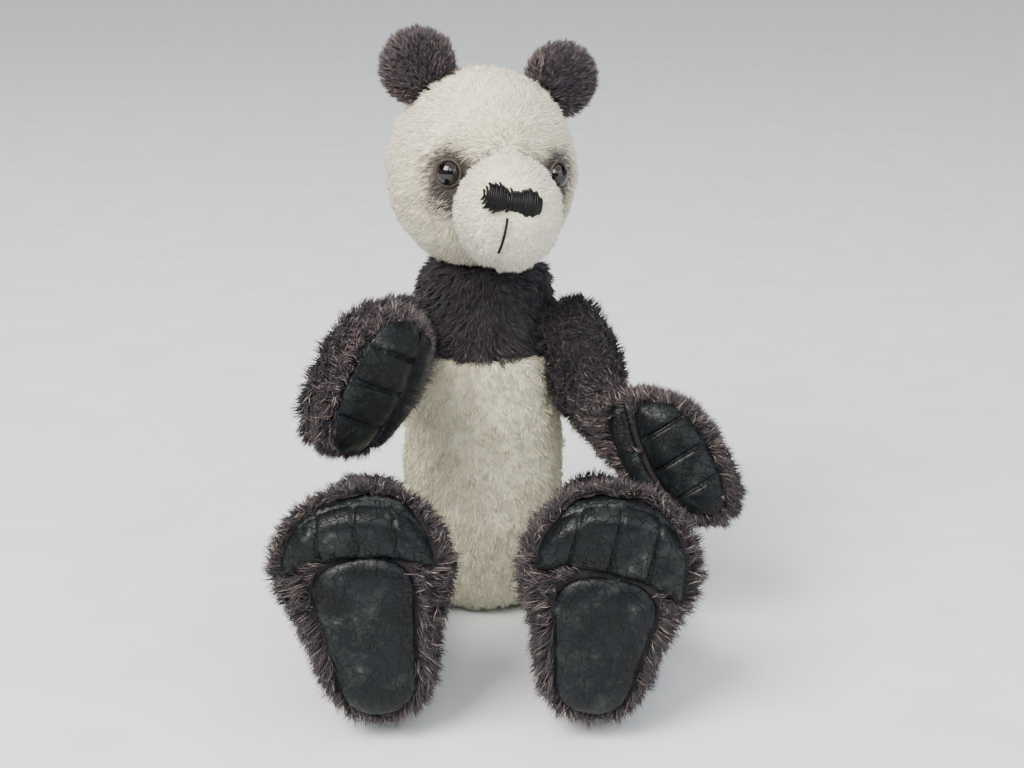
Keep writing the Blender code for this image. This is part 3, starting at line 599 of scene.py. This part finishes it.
# %% Limb and ear skins
# The toes are the part of a leg above and in front of these, and each foot widens there.
TOES_ABOVE = 20
TOES_BEFORE = 40
TOES_BLEND = 8
TOES_WIDER = 0.09
for side in SIDES:
    for limb, joint in (("arm", "shoulder"), ("leg", "hip")):
        skin(f"{limb}_{side}_skin", f"{limb}_{side}_shell", [joint_hole(f"{joint}_{side}")],
             f"{limb}_{side}", DARK_BACK,
             held_near=[f"{pad}_{side}" for pad in PADS[limb]])
    leg = SKINS[f"leg_{side}_skin"]
    points = points_of(leg.data)
    toes = (np.clip((points[:, 2] / MM - TOES_ABOVE) / TOES_BLEND, 0, 1)
            * np.clip((-points[:, 1] / MM - TOES_BEFORE) / TOES_BLEND, 0, 1))
    hub_x = points[toes > 0.5, 0].mean()
    points[:, 0] += (points[:, 0] - hub_x) * TOES_WIDER * toes
    leg.data.vertices.foreach_set("co", points.ravel())
    ear = add_piece(f"ear_{side}_skin", merged(f"ear_{side}"), DARK_BACK)
    even_cloth(ear, 0.6, 6)
    finish_skin(ear, "head", [f"ear_{side}"])

print("Limb and ear skins made")

# %% [markdown]
# The muzzle is a small stuffed ball sewn to the face, with a soft cleft under the nose where the
# mouth thread is pulled tight. A sphere with a shallow groove gives that without a simulation.

# %% Muzzle skin
MUZZLE_MIDDLE = Vector((0.1, -19.1, -4.5)) * MM
MUZZLE_HALF = Vector((9.1, 10.1, 10.1)) * MM
bm = bmesh.new()
bmesh.ops.create_icosphere(bm, subdivisions=5, radius=1.0)
for vert in bm.verts:
    spot = vert.co.copy()
    cleft = math.exp(-((spot.x + 0.3) / 0.1) ** 2) * min(1.0, max(0.0, -spot.z - 0.1) * 2.5)
    vert.co = Vector(part * half for part, half in zip(spot, MUZZLE_HALF)) * (1 - 0.05 * cleft)
bmesh.ops.transform(bm, matrix=HEAD_FRAME @ Matrix.Translation(MUZZLE_MIDDLE), verts=bm.verts)
muzzle = smooth(add_piece("muzzle_skin", bm, CREAM_BACK))
finish_skin(muzzle, "head", ["muzzle_cover"])
print(len(SKINS), "skins,", sum(len(thing.data.polygons) for thing in SKINS.values()), "faces")

# %% [markdown]
# ## Leather pads
# The pads are cut from leather, padded from behind and sewn on, and stitches pulled tight divide
# the toes and the fingers. Each one starts as its flat CAD plate, remeshed fine. The plate could
# be subdivided instead, but its outline is cut from long thin facets, and a remesh makes an
# even grid that padding and creases can bend.

# %% Pad tools
PAD_BULGE = {"toe_pad": 1.3, "sole_pad": 1.0, "palm_pad": 0.8, "finger_pad": 1.5}
PAD_ROUNDING = 3.4 * MM
PAD_CREASES = {"toe_pad": (-0.5, 0.0, 0.5), "finger_pad": (-0.5, 0.02, 0.52),
               "sole_pad": (), "palm_pad": ()}
CREASE_HALF = 0.3 * MM
CREASE_DEPTH = 0.8 * MM
PAD_AXES = {}
# The leather is cut a little over its plate: along its long side and its short side.
# Over the toes it also arches up at the top and comes down at the corners.
PAD_OVER = {"toe_pad": (1.04, 1.0), "sole_pad": (1.07, 1.02), "palm_pad": (1.14, 1.3),
            "finger_pad": (1.06, 1.1), "palm_pad_right": (1.25, 1.7), "finger_pad_right": (1.16, 1.32)}
TOE_ARCH = 2.5 * MM
TOE_CORNERS = 1.5 * MM
TOE_WRAP = 5 * MM


def plane_of(points, away_from):
    """The middle of flat points, their long side, their short side and the way out."""
    middle = (points.min(0) + points.max(0)) / 2
    _, axes = np.linalg.eigh(np.cov((points - points.mean(0)).T))
    out = axes[:, 0] * np.sign((middle - away_from) @ axes[:, 0])
    long = axes[:, 2] * np.sign(axes[:, 2][np.argmax(np.abs(axes[:, 2]))])
    return middle, long, np.cross(out, long), out


def outline_of(bm, out):
    """The ends of the plate's sharp outer edges."""
    rows = []
    for edge in bm.edges:
        if len(edge.link_faces) == 2:
            flat = [abs(face.normal.dot(out)) > 0.9 for face in edge.link_faces]
            if flat[0] != flat[1]:
                rows.append([list(vert.co) for vert in edge.verts])
    return np.array(rows)


def to_outline(spots, rows, middle, axes):
    """Distance in the pad's plane from each spot to the outline."""
    flat = (spots - middle) @ axes.T
    ends = (rows - middle) @ axes.T
    best = np.full(len(flat), np.inf)
    for start, end in ends:
        along = end - start
        share = np.clip(((flat - start) @ along) / max(along @ along, 1e-12), 0, 1)
        best = np.minimum(best, np.linalg.norm(flat - start - share[:, None] * along, axis=1))
    return best, flat


def over_the_toes(spots, rows, middle, axes, skin_piece):
    """Arch the leather over the toes and lay it down on the foot."""
    long, short, out = axes
    up = np.array((0.0, 0.0, 1.0))
    flat = (spots - middle) @ np.array([long, short]).T
    ends = (rows.reshape(-1, 3) - middle) @ np.array([long, short]).T
    across = np.clip(flat[:, 0] / np.abs(ends[:, 0]).max(), -1, 1)
    top = np.sign(short @ up) * flat[:, 1] / np.abs(ends[:, 1]).max()
    lift = TOE_ARCH * (1 - np.abs(across) ** 3) * np.clip(0.5 + 0.5 * top, 0, 1)
    lift -= TOE_CORNERS * across ** 4 * np.clip(0.6 - 0.6 * top, 0, 1)
    lift -= TOE_CORNERS * across ** 4 * np.clip(0.8 * top, 0, 1)
    thick = np.ptp((spots - middle) @ out)
    high = (spots - middle) @ out + thick / 2
    moved = spots + short * (np.sign(short @ up) * lift)[:, None]
    foot = tree_of(skin_piece)
    for index, spot in enumerate(moved):
        start = Vector(spot) + Vector(out) * 8 * MM
        hit = foot.ray_cast(start, -Vector(out))[0]
        gap = (hit - Vector(middle)).dot(Vector(out)) + thick / 2 if hit else -TOE_WRAP
        moved[index] += out * float(np.clip(gap, -TOE_WRAP, 0) * (0.4 + 0.6 * (high[index] > thick / 2)))
    return moved


# %% [markdown]
# The padding rises from the outline inwards. A crease is a narrow groove square to the pad's
# long side, and a slow ripple keeps the leather from being perfectly even.

# %% Make the pads
for side in SIDES:
    for limb, pads in PADS.items():
        for pad in pads:
            bm = merged(f"{pad}_{side}")
            spots = np.array([vert.co for vert in bm.verts])
            limb_middle = points_of(SKINS[f"{limb}_{side}_skin"].data).mean(0)
            middle, long, short, out = plane_of(spots, limb_middle)
            rows = outline_of(bm, Vector(out))
            thing = add_piece(f"{pad}_{side}_leather", bm, LEATHER)
            even_cloth(thing, 0.34, 2)
            spots = points_of(thing.data)
            deep, flat = to_outline(spots, rows, middle, np.array([long, short]))
            over = np.array(PAD_OVER.get(f"{pad}_{side}", PAD_OVER[pad])) - 1
            spots = spots + (flat * over) @ np.array([long, short])
            level = np.clip(((spots - middle) @ out) / (0.3 * MM), 0, 1)
            if pad == "toe_pad":
                spots = over_the_toes(spots, rows, middle, (long, short, out), SKINS[f"leg_{side}_skin"])
            rise = PAD_BULGE[pad] * MM * (1 - (1 - np.minimum(deep / PAD_ROUNDING, 1)) ** 2)
            half = np.abs((rows.reshape(-1, 3) - middle) @ long).max()
            for share in PAD_CREASES[pad]:
                near = np.exp(-((flat[:, 0] - share * half) / CREASE_HALF) ** 2)
                rise -= np.minimum(CREASE_DEPTH, rise + 0.25 * MM) * near
            wander = np.sin(flat[:, 0] / MM * 0.55 + 1.7 * np.sin(flat[:, 1] / MM * 0.3))
            ripple = 0.16 * MM * wander * np.sin(flat[:, 1] / MM * 0.42 + 1)
            moved = spots + out * (level * (rise + ripple * np.minimum(deep / MM, 1)))[:, None]
            thing.data.vertices.foreach_set("co", moved.ravel())
            thing.data.update()
            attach(thing, f"{limb}_{side}")
            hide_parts(f"{pad}_{side}")
            PAD_AXES[f"{pad}_{side}"] = (middle, long, short, out)
print("8 leather pads")

# %% [markdown]
# ## Eyes
# The eyes are black blown glass on wire loops, set in a ring of worn brown felt. A dome is a
# quarter circle spun round its own axis. A scaled sphere would do too, but spinning gives the
# flat back and the ring with the same function.

# %% Eyes


def lathe(profile, steps, place):
    """Spin a profile of (radius, height) round the Z axis of a place."""
    bm = bmesh.new()
    verts = [bm.verts.new((radius * MM, 0, height * MM)) for radius, height in profile]
    edges = [bm.edges.new(pair) for pair in zip(verts, verts[1:])]
    bmesh.ops.spin(bm, geom=verts + edges, cent=(0, 0, 0), axis=(0, 0, 1), angle=2 * math.pi,
                   steps=steps, use_merge=True)
    bmesh.ops.remove_doubles(bm, verts=bm.verts, dist=0.001 * MM)
    bmesh.ops.recalc_face_normals(bm, faces=bm.faces)
    bmesh.ops.transform(bm, matrix=place, verts=bm.verts)
    return bm


for side in SIDES:
    out = eye_axis(side)
    place = (Matrix.Translation(HEAD_MIDDLE + out * (HEAD_RADIUS - 0.35 * MM))
             @ out.to_track_quat("Z", "Y").to_matrix().to_4x4())
    dome = [(2.2 * math.cos(turn), 1.75 * math.sin(turn)) for turn in np.linspace(0, math.pi / 2, 12)]
    glass = smooth(add_piece(f"eye_{side}_glass", lathe([(0, -0.2), (2.2, -0.2)] + dome, 40, place), GLASS))
    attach(glass, "head")
    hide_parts(f"eye_{side}")
    ring = [(2.36 + 0.26 * math.cos(turn), 0.05 + 0.36 * math.sin(turn))
            for turn in np.linspace(0, 2 * math.pi, 13)]
    felt = smooth(add_piece(f"eye_{side}_felt_ring", lathe(ring, 40, place), IRIS_FELT))
    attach(felt, "head")

print("Eyes made")

# %% [markdown]
# ## Nose
# The nose is embroidered in satin stitch: upright stitches side by side over two lobes and the
# bar between them. Each stitch is a thread bent over the padding. A ring is extruded along the
# thread's way, with a turn at each step, because separate stitches show as they do on the toy,
# and a single lump with a bump pattern looks moulded.

# %% Nose
NOSE_MIDDLE = Vector((-1.9, -28.3, -0.9)) * MM
NOSE_TILT = math.radians(11)
NOSE_SPREAD = 2.9
NOSE_LOBE = (2.7, 1.8, 2.5)
NOSE_BAR_HEIGHT = 1.9
THREAD_RADIUS = 0.24 * MM
THREAD_SIDES = 6


def stitch(bm, way):
    """A closed tube of thread along a way: a ring extruded from point to point."""
    side_way, edges, place_before = None, [], None
    for number, point in enumerate(way):
        along = (way[min(number + 1, len(way) - 1)] - way[max(number - 1, 0)]).normalized()
        side_way = along.orthogonal() if side_way is None else side_way - along * side_way.dot(along)
        side_way.normalize()
        place = Matrix((side_way, along.cross(side_way), along)).transposed().to_4x4()
        place.translation = point
        if number == 0:
            made = bmesh.ops.create_circle(bm, segments=THREAD_SIDES, radius=THREAD_RADIUS, matrix=place)
            edges = list({edge for vert in made["verts"] for edge in vert.link_edges})
            first_edges = edges
        else:
            made = bmesh.ops.extrude_edge_only(bm, edges=edges)["geom"]
            verts = [part for part in made if isinstance(part, bmesh.types.BMVert)]
            edges = [part for part in made if isinstance(part, bmesh.types.BMEdge)]
            bmesh.ops.transform(bm, matrix=place @ place_before.inverted(), verts=verts)
        place_before = place
    bmesh.ops.contextual_create(bm, geom=first_edges)
    bmesh.ops.contextual_create(bm, geom=edges)


nose_place = HEAD_FRAME @ Matrix.Translation(NOSE_MIDDLE) @ Matrix.Rotation(NOSE_TILT, 4, "Y")
bm = bmesh.new()
rng = np.random.default_rng(11)
for at in np.arange(-5.35, 5.4, 0.36):
    lobe = max(0.0, 1 - ((abs(at) - NOSE_SPREAD) / NOSE_LOBE[0]) ** 2) ** 0.5
    bar = max(0.0, 1 - (at / NOSE_SPREAD) ** 2) ** 0.5
    height = max(NOSE_LOBE[2] * lobe, NOSE_BAR_HEIGHT * bar, 0.7) + rng.uniform(-0.3, 0.3)
    front = max(NOSE_LOBE[1] * lobe - 0.6, 1.25 * bar, 0.2) + 0.12
    way = []
    for step in range(9):
        turn = math.pi * (step / 8 - 0.5) * 0.94
        spot = Vector((at + rng.uniform(-0.05, 0.05), 0.9 - (front + 0.9) * math.cos(turn),
                       height * math.sin(turn))) * MM
        way.append(nose_place @ spot)
    stitch(bm, way)
bmesh.ops.recalc_face_normals(bm, faces=bm.faces)
satin = smooth(add_piece("nose_satin_stitches", bm, THREAD))
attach(satin, "head")
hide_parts("nose_stitching")
print("Nose made,", len(satin.data.polygons), "faces of thread")

# %% [markdown]
# ## Pile
# Mohair pile has thousands of strands that lean one way and stick together in locks. Blender's
# hair would draw them, but only meshes are kept with the toy, so each strand is a thin bent cone
# of six faces: three corners at the root, three in the middle and a tip. Real strands are finer,
# and these are about 0.1 mm thick so that they cover the cloth and show. Roots are spread over a
# skin by area, clear of the leather, the eyes, the thread and skins that lie against this one.

# %% Strand tools
SHADE_WIDTH = 0.004
FACE_CORNERS = np.array([0, 1, 4, 3, 1, 2, 5, 4, 2, 0, 3, 5, 3, 4, 6, 4, 5, 6, 5, 3, 6])
FACE_STARTS = np.array([0, 4, 8, 12, 15, 18])
FACE_SIZES = np.array([4, 4, 4, 3, 3, 3])


def unit(rows):
    """Rows with a length of one."""
    return rows / np.maximum(np.linalg.norm(rows, axis=1, keepdims=True), 1e-12)


def spread_roots(rng, thing, count, wanted):
    """Random points on a skin with their normals. wanted(points, normals) gives a chance."""
    mesh = thing.data
    mesh.calc_loop_triangles()
    corners = np.empty(len(mesh.loop_triangles) * 3, np.int32)
    mesh.loop_triangles.foreach_get("vertices", corners)
    corners = corners.reshape(-1, 3)
    points = points_of(mesh)
    normals = np.array([tuple(item.vector) for item in mesh.vertex_normals])
    a, b, c = (points[corners[:, part]] for part in range(3))
    areas = np.linalg.norm(np.cross(b - a, c - a), axis=1)
    chance = wanted((a + b + c) / 3, unit(normals[corners].sum(1)))
    weights = areas * chance
    picks = rng.choice(len(areas), count, p=weights / weights.sum())
    first, second = rng.random(count), rng.random(count)
    over = first + second > 1
    first[over], second[over] = 1 - first[over], 1 - second[over]
    third = 1 - first - second
    shares = np.stack([third, first, second], 1)[:, :, None]
    roots = (points[corners[picks]] * shares).sum(1)
    return roots, unit((normals[corners[picks]] * shares).sum(1))


# %% [markdown]
# Strands follow a combing direction that is laid flat on the cloth. Each belongs to the lock of a
# nearby strand, takes its turn and draws its tip towards it, which gives the tufts. All strands
# of a skin are one mesh filled from arrays, because an operator for each would take hours.

# %% Locks and strands


def clumps(rng, roots, size):
    """For each root, the index of the nearest of a few chosen roots: the lock it belongs to."""
    leaders = rng.choice(len(roots), max(1, len(roots) // size), replace=False)
    tree = KDTree(len(leaders))
    for number, leader in enumerate(leaders):
        tree.insert(Vector(roots[leader]), number)
    tree.balance()
    return leaders[[tree.find(Vector(root))[1] for root in roots]]


def grow(name, body, slot, material, seed, roots, normals, comb, length, lie, shade,
         width=0.1, wild=0.28, lock=0.45, lock_size=14, spread=0.13):
    """Make the strands of one piece. comb, length, lie and shade have one row per root."""
    rng = np.random.default_rng(seed)
    count = len(roots)
    comb = unit(comb - normals * (comb * normals).sum(1)[:, None])
    leader = clumps(rng, roots, lock_size)
    lock_turn = rng.normal(0, wild, (count, 3))[leader]
    lie = lie[:, None]
    first = unit(normals * (1 - lie) + comb * lie + lock_turn * 0.7 + rng.normal(0, wild * 0.5, (count, 3)))
    second = unit(first + comb * 0.35 + lock_turn * 0.6 + rng.normal(0, wild * 0.6, (count, 3)))
    reach = (length * rng.uniform(0.65, 1.12, count) * MM)[:, None]
    start = roots - normals * 0.1 * MM
    middle = start + first * reach * 0.5
    tip = middle + second * reach * 0.5
    tip += (tip[leader] - tip) * (lock * rng.uniform(0.3, 1.0, count))[:, None]
    middle += (middle[leader] - middle) * (0.25 * lock)
    below = ((tip - roots) * normals).sum(1)
    tip += normals * np.maximum(0.12 * MM - below, 0)[:, None]
    tip[:, 2] = np.maximum(tip[:, 2], 0.05 * MM)
    middle[:, 2] = np.maximum(middle[:, 2], 0.25 * MM)
    across = unit(np.cross(first, rng.normal(0, 1, (count, 3))))
    other = np.cross(first, across)
    points = np.empty((count, 7, 3))
    for ring, (centre, share) in enumerate(((start, 1.0), (middle, 0.8))):
        for step in range(3):
            turn = 2 * math.pi * step / 3
            round_way = across * math.cos(turn) + other * math.sin(turn)
            points[:, ring * 3 + step] = centre + round_way * (width * share * MM)
    points[:, 6] = tip
    mesh = bpy.data.meshes.new(name)
    mesh.vertices.add(count * 7)
    mesh.vertices.foreach_set("co", points.ravel())
    mesh.loops.add(count * 21)
    corners = (np.arange(count) * 7)[:, None] + FACE_CORNERS
    mesh.loops.foreach_set("vertex_index", corners.ravel())
    mesh.polygons.add(count * 6)
    mesh.polygons.foreach_set("loop_start", ((np.arange(count) * 21)[:, None] + FACE_STARTS).ravel())
    mesh.polygons.foreach_set("loop_total", np.tile(FACE_SIZES, count))
    mesh.update(calc_edges=True)
    tone_at = np.clip(shade + rng.normal(0, spread, count), 0.01, 0.98)
    sideways = np.array([0, 1, 2, 0, 1, 2, 1]) / 2 * SHADE_WIDTH
    upwards = np.array([0, 0, 0, 0.5, 0.5, 0.5, 1.0]) * TIP_V
    spots = np.stack([tone_at[:, None] + sideways[FACE_CORNERS],
                      np.tile(upwards[FACE_CORNERS], (count, 1))], 2)
    mesh.uv_layers.new(name=MAP).data.foreach_set("uv", spots.ravel())
    thing = smooth(new_piece(name, mesh, material))
    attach(thing, body)
    print("  ", name, count, "strands")
    return thing


# %% [markdown]
# Pile that grew into leather, glass or a neighbour would cut through it.

# %% Where pile may grow


def clear_of(tree, gap):
    """A chance of 0 within a gap of the surfaces of a tree."""
    return lambda points: (distances(points, tree, gap * MM) >= gap * MM * 0.999).astype(float)


def bodies_tree(body):
    """The skins that ride on other bodies than this one."""
    return tree_of(*[thing for name, thing in SKINS.items() if SKIN_BODY[name] != body])


# %% [markdown]
# The head has short dense cream pile, combed outwards from the muzzle. It is airbrushed grey
# round the eyes, with a streak that runs down and out from each eye, a little tan on the
# forehead, and shorter where the muzzle is sewn on, with painted shade in the crease there.

# %% Head pile


def in_head(points):
    """Points in the head's own frame, in millimetres."""
    return (points - np.array(HEAD_MIDDLE)) @ HEAD_TURN / MM


def eye_smudge(points):
    """How grey the pile is round the eyes, from 0 to 1."""
    spots = in_head(points)
    grey = np.zeros(len(spots))
    for side, sign in SIDES.items():
        eye = in_head(np.array(HEAD_MIDDLE + eye_axis(side) * HEAD_RADIUS)[None])[0]
        off = spots - eye
        near = np.linalg.norm(off, axis=1)
        grey = np.maximum(grey, np.exp(-(near / 4.6) ** 2) * 2.0)
        down = np.clip(-off[:, 2] / 11, 0, 1)
        beside = off[:, 0] - sign * (-0.5 + 2.4 * down)
        streak = np.exp(-(beside / 3.0) ** 2) * (off[:, 2] < 0) * (1 - down) ** 0.7
        streak *= spots[:, 1] < 0
        grey = np.maximum(grey, streak * 0.85)
    return np.clip(grey, 0, 1)


face = tree_of(*[bpy.data.objects[f"eye_{side}_{part}"]
                 for side in SIDES for part in ("glass", "felt_ring")])
thread = tree_of(frame["nodes"]["mouth_stitch"], satin)
head_others = bodies_tree("head")
muzzle_tree = tree_of(muzzle)
rng = np.random.default_rng(3)


def head_wanted(points, normals):
    """Pile outside the muzzle, clear of the eyes and the yoke, and thinner at the back."""
    inside = ((in_head(points) - np.array(MUZZLE_MIDDLE) / MM) / (np.array(MUZZLE_HALF) / MM)) ** 2
    return (clear_of(face, 0.35)(points) * (inside.sum(1) > 0.97) * clear_of(head_others, 1.0)(points)
            * np.where(in_head(points)[:, 1] > 4, 0.6, 1.0))


roots, normals = spread_roots(rng, head, 21500, head_wanted)
spots = in_head(roots)
comb = np.stack([spots[:, 0] * 0.9, spots[:, 1] * 0.3 + 6, spots[:, 2] * 0.7 - 5], 1) @ HEAD_TURN.T
smudge = eye_smudge(roots)
print("  pile greyed round the eyes:", int((smudge > 0.4).sum()), "strands")
tan = np.exp(-((spots[:, 0] / 5) ** 2 + ((spots[:, 2] - 8) / 5) ** 2)) * (spots[:, 1] < 0)
# Within 2.4 mm of the muzzle the pile is shorter and darkened with painted shade for the crease.
seam_shortening_and_shade = np.clip(1 - distances(roots, muzzle_tree, 2.4 * MM) / (2.4 * MM), 0, 1)
shade = 0.74 + 0.14 * np.clip(spots[:, 2] / 8, 0, 1) - 0.68 * smudge - 0.26 * tan - 0.36 * seam_shortening_and_shade
grow("head_pile", "head", "cream_pile", CREAM_PILE, 5, roots, normals, comb,
     1.9 - 0.4 * smudge - 0.7 * seam_shortening_and_shade, np.full(len(roots), 0.66), shade,
     width=0.085, wild=0.16, lock=0.3, lock_size=22)


# %% [markdown]
# The muzzle is clipped shorter, and it is the whitest part of the face, so the two don't merge.

# %% Muzzle pile


def muzzle_wanted(points, normals):
    """Pile outside the head, clear of the thread."""
    back = np.linalg.norm(in_head(points), axis=1)
    return clear_of(thread, 0.3)(points) * (back > 17.6) * clear_of(head_others, 0.8)(points)


roots, normals = spread_roots(rng, muzzle, 13000, muzzle_wanted)
spots = in_head(roots)
comb = np.stack([spots[:, 0] + 1.9, np.full(len(spots), 5.0), spots[:, 2] + 1.0 - 3], 1) @ HEAD_TURN.T
shade = np.full(len(roots), 1.0) - 0.08 * (spots[:, 2] > 4)
grow("muzzle_pile", "head", "cream_pile", CREAM_PILE, 6, roots, normals, comb,
     np.where(spots[:, 1] < -26, 1.1, 1.6), np.full(len(roots), 0.62), shade, width=0.08,
     wild=0.18, lock=0.3, lock_size=18)

# %% [markdown]
# The belly's pile is greener and hangs down, and it is left out under the seat.

# %% Belly pile
belly_others = bodies_tree("body")
roots, normals = spread_roots(
    rng, belly, 21500, lambda points, normals: clear_of(belly_others, 0.9)(points)
    * (points[:, 2] < YOKE_EDGE_Z) * (normals[:, 2] > -0.9) * np.where(points[:, 1] > 4 * MM, 0.6, 1.0))
comb = np.stack([roots[:, 0] * 8, np.zeros(len(roots)), np.full(len(roots), -1.0)], 1)
grow("belly_pile", "body", "cream_pile", BELLY_PILE, 7, roots, normals, comb,
     np.full(len(roots), 2.1), np.full(len(roots), 0.64), np.full(len(roots), 0.7),
     width=0.09, wild=0.2, lock=0.35, lock_size=22)

# %% [markdown]
# The dark pile is longer, with reddish and tan tips. On the yoke it is combed down, and it is
# browner low in the middle, where it is longest and lies over the seam.

# %% Yoke pile


def dark_pile(name, thing, body, seed, count, wanted, comb_of, length_of, lie_of, shade_of, **more):
    """Pile on one dark skin. The functions take the roots and their normals."""
    rng = np.random.default_rng(seed)
    others = clear_of(bodies_tree(body), 0.8)
    roots, normals = spread_roots(rng, thing, count,
                                  lambda points, normals: wanted(points, normals) * others(points))
    return grow(name, body, "dark_pile", DARK_PILE, seed, roots, normals, comb_of(roots, normals),
                length_of(roots), lie_of(roots), shade_of(roots), **more)


def yoke_comb(roots, normals):
    """Downwards and outwards, and straight down at the back."""
    front = roots[:, 1] < 0
    side = roots[:, 0] - 0.6 * MM
    swirl = np.where(front, (YOKE_EDGE_Z + 4 * MM) - roots[:, 2], 1.0)
    return np.stack([side * 1.2, roots[:, 1] * 0.2, -np.abs(swirl) - 4 * MM], 1)


def yoke_shade(roots):
    """Dark, and browner low in the middle."""
    middle = np.exp(-((roots[:, 0] - 0.5 * MM) / (7 * MM)) ** 2)
    low = middle * np.clip((YOKE_EDGE_Z + 8 * MM - roots[:, 2]) / (8 * MM), 0, 1)
    return 0.27 + 0.24 * low


dark_pile("yoke_pile", yoke, "body", 21, 13500, lambda points, normals: points[:, 2] > YOKE_EDGE_Z,
          yoke_comb, lambda roots: 2.5 + 4 * np.clip(yoke_shade(roots) - 0.27, 0, 0.4),
          lambda roots: np.full(len(roots), 0.62), yoke_shade, width=0.1, lock_size=16)


# %% [markdown]
# On the paws and the feet the pile stands out in a thick rim round the leather, because the seam
# pushes it up. There it is longer, denser and lighter than on the rest of the limb.

# %% Limb pile


def limb_pile(limb, side, seed, count):
    """Pile on an arm or a leg, with the rim of long strands round its leather."""
    body = f"{limb}_{side}"
    leather = [bpy.data.objects[f"{pad}_{side}_leather"] for pad in PADS[limb]]
    tree = tree_of(*leather)
    plates = [PAD_AXES[f"{pad}_{side}"] for pad in PADS[limb]]
    middle = (plates[0][0] + plates[1][0]) / 2
    out = unit((plates[0][3] + plates[1][3])[None])[0]

    def near_rim(roots):
        """From 0 far from the leather to 1 at its edge."""
        return np.clip(1 - distances(roots, tree, 9 * MM) / (9 * MM), 0, 1)

    def comb_of(roots, normals):
        """Outwards from the leather near its edge, forwards elsewhere."""
        off = roots - middle
        flat = unit(off - (off @ out)[:, None] * out)
        rim = near_rim(roots)[:, None]
        return flat * (0.15 + 0.9 * rim) + out * (1 - 0.75 * rim)

    return dark_pile(f"{limb}_{side}_pile", SKINS[f"{limb}_{side}_skin"], body, seed, count,
                     lambda points, normals: clear_of(tree, 0.7)(points) * (0.55 + 1.6 * near_rim(points)),
                     comb_of, lambda roots: 2.7 + 1.2 * near_rim(roots),
                     lambda roots: 0.6 - 0.15 * near_rim(roots),
                     lambda roots: 0.2 + 0.21 * near_rim(roots), width=0.09, lock_size=10, lock=0.42,
                     wild=0.3, spread=0.26)


# %% [markdown]
# Each limb gets its pile, then the ear on that side. Ears are combed outwards from their middle,
# and their tips are lighter at the rim.

# %% Grow the limb and ear pile
for number, side in enumerate(SIDES):
    limb_pile("arm", side, 31 + number, 18500)
    limb_pile("leg", side, 41 + number, 19500)
    ear = SKINS[f"ear_{side}_skin"]
    hub = points_of(ear.data).mean(0)
    dark_pile(f"ear_{side}_pile", ear, "head", 51 + number, 9000,
              lambda points, normals: (np.linalg.norm(in_head(points), axis=1) > 17.8).astype(float),
              lambda roots, normals: (roots - np.array(HEAD_MIDDLE)) * 0.5 + (roots - hub) * 1.2,
              lambda roots: np.full(len(roots), 2.3), lambda roots: np.full(len(roots), 0.55),
              lambda roots: 0.3 + 0.45 * np.clip(np.linalg.norm(roots - hub, axis=1) / (7 * MM) - 0.45, 0, 1),
              width=0.085, wild=0.2, lock=0.35, lock_size=12, spread=0.18)
print("Pile grown")

# %% [markdown]
# ## Floor, light and camera
# Black leather and black pile need wide soft light, or they turn into holes. A pale paper floor
# runs back to a round wall. A wide soft key comes from the upper left, a fill from the right, a
# weak lamp from high in front and a broad light from the sky. The camera looks down a little
# with a normal lens.

# %% Stage
bm = bmesh.new()
bmesh.ops.create_grid(bm, x_segments=2, y_segments=2, size=8.0)
bmesh.ops.translate(bm, vec=(0, 3.0, -0.0002), verts=bm.verts)
paper, tree, surface, place = start_material("matt_studio_paper", 0.8)
cloudy = add(tree, "ShaderNodeTexNoise", [("Vector", place), ("Scale", 0.05 / MM), ("Detail", 2.0),
                                          ("Roughness", 0.6)])
pale = add(tree, "ShaderNodeValToRGB", [("Fac", cloudy.outputs["Fac"])], ((0.3, "DDE1E4"), (0.7, "E6EAEC")))
tree.links.new(pale.outputs["Color"], surface.inputs["Base Color"])
floor = add_piece("studio_floor", bm, paper)
bm = bmesh.new()
bmesh.ops.create_cone(bm, cap_ends=False, segments=96, radius1=6.0, radius2=6.0, depth=2.4)
bmesh.ops.translate(bm, vec=(0, 0, 1.2), verts=bm.verts)
backdrop = smooth(add_piece("studio_backdrop", bm, paper))

# Name, kind, place in metres, size in metres or angle in radians, power and colour.
LIGHTS = (
    ("key", "AREA", (-0.45, -0.55, 0.75), 0.55, 22.0, "FFF9F2"),
    ("fill", "AREA", (0.75, -0.55, 0.35), 0.8, 5.0, "F2F6FF"),
    ("front", "AREA", (0.05, -1.1, 0.9), 0.5, 4.0, "FFFFFF"),
    ("sky", "SUN", (0.2, -0.3, 1.0), 1.6, 2.6, "FFFFFF"),
)
AIM = Vector((0, -0.01, 0.05))
for name, kind, place, size, power, colour in LIGHTS:
    lamp = bpy.data.lights.new(name, kind)
    setattr(lamp, "size" if kind == "AREA" else "angle", size)
    lamp.energy = power
    lamp.color = tone(colour)[:3]
    thing = bpy.data.objects.new(name, lamp)
    bpy.context.scene.collection.objects.link(thing)
    thing.location = place
    thing.rotation_euler = (AIM - Vector(place)).to_track_quat("-Z", "Y").to_euler()

camera = bpy.data.cameras.new("camera")
camera.sensor_width = 36.0
camera.lens = 52.73
camera.clip_start = 0.01
seen = bpy.data.objects.new("camera", camera)
bpy.context.scene.collection.objects.link(seen)
seen.location = (0.006, -0.285, 0.1376)
seen.rotation_euler = (math.radians(72), 0.0, 0.0)
bpy.context.scene.camera = seen
print(len(LIGHTS), "lights and a camera")
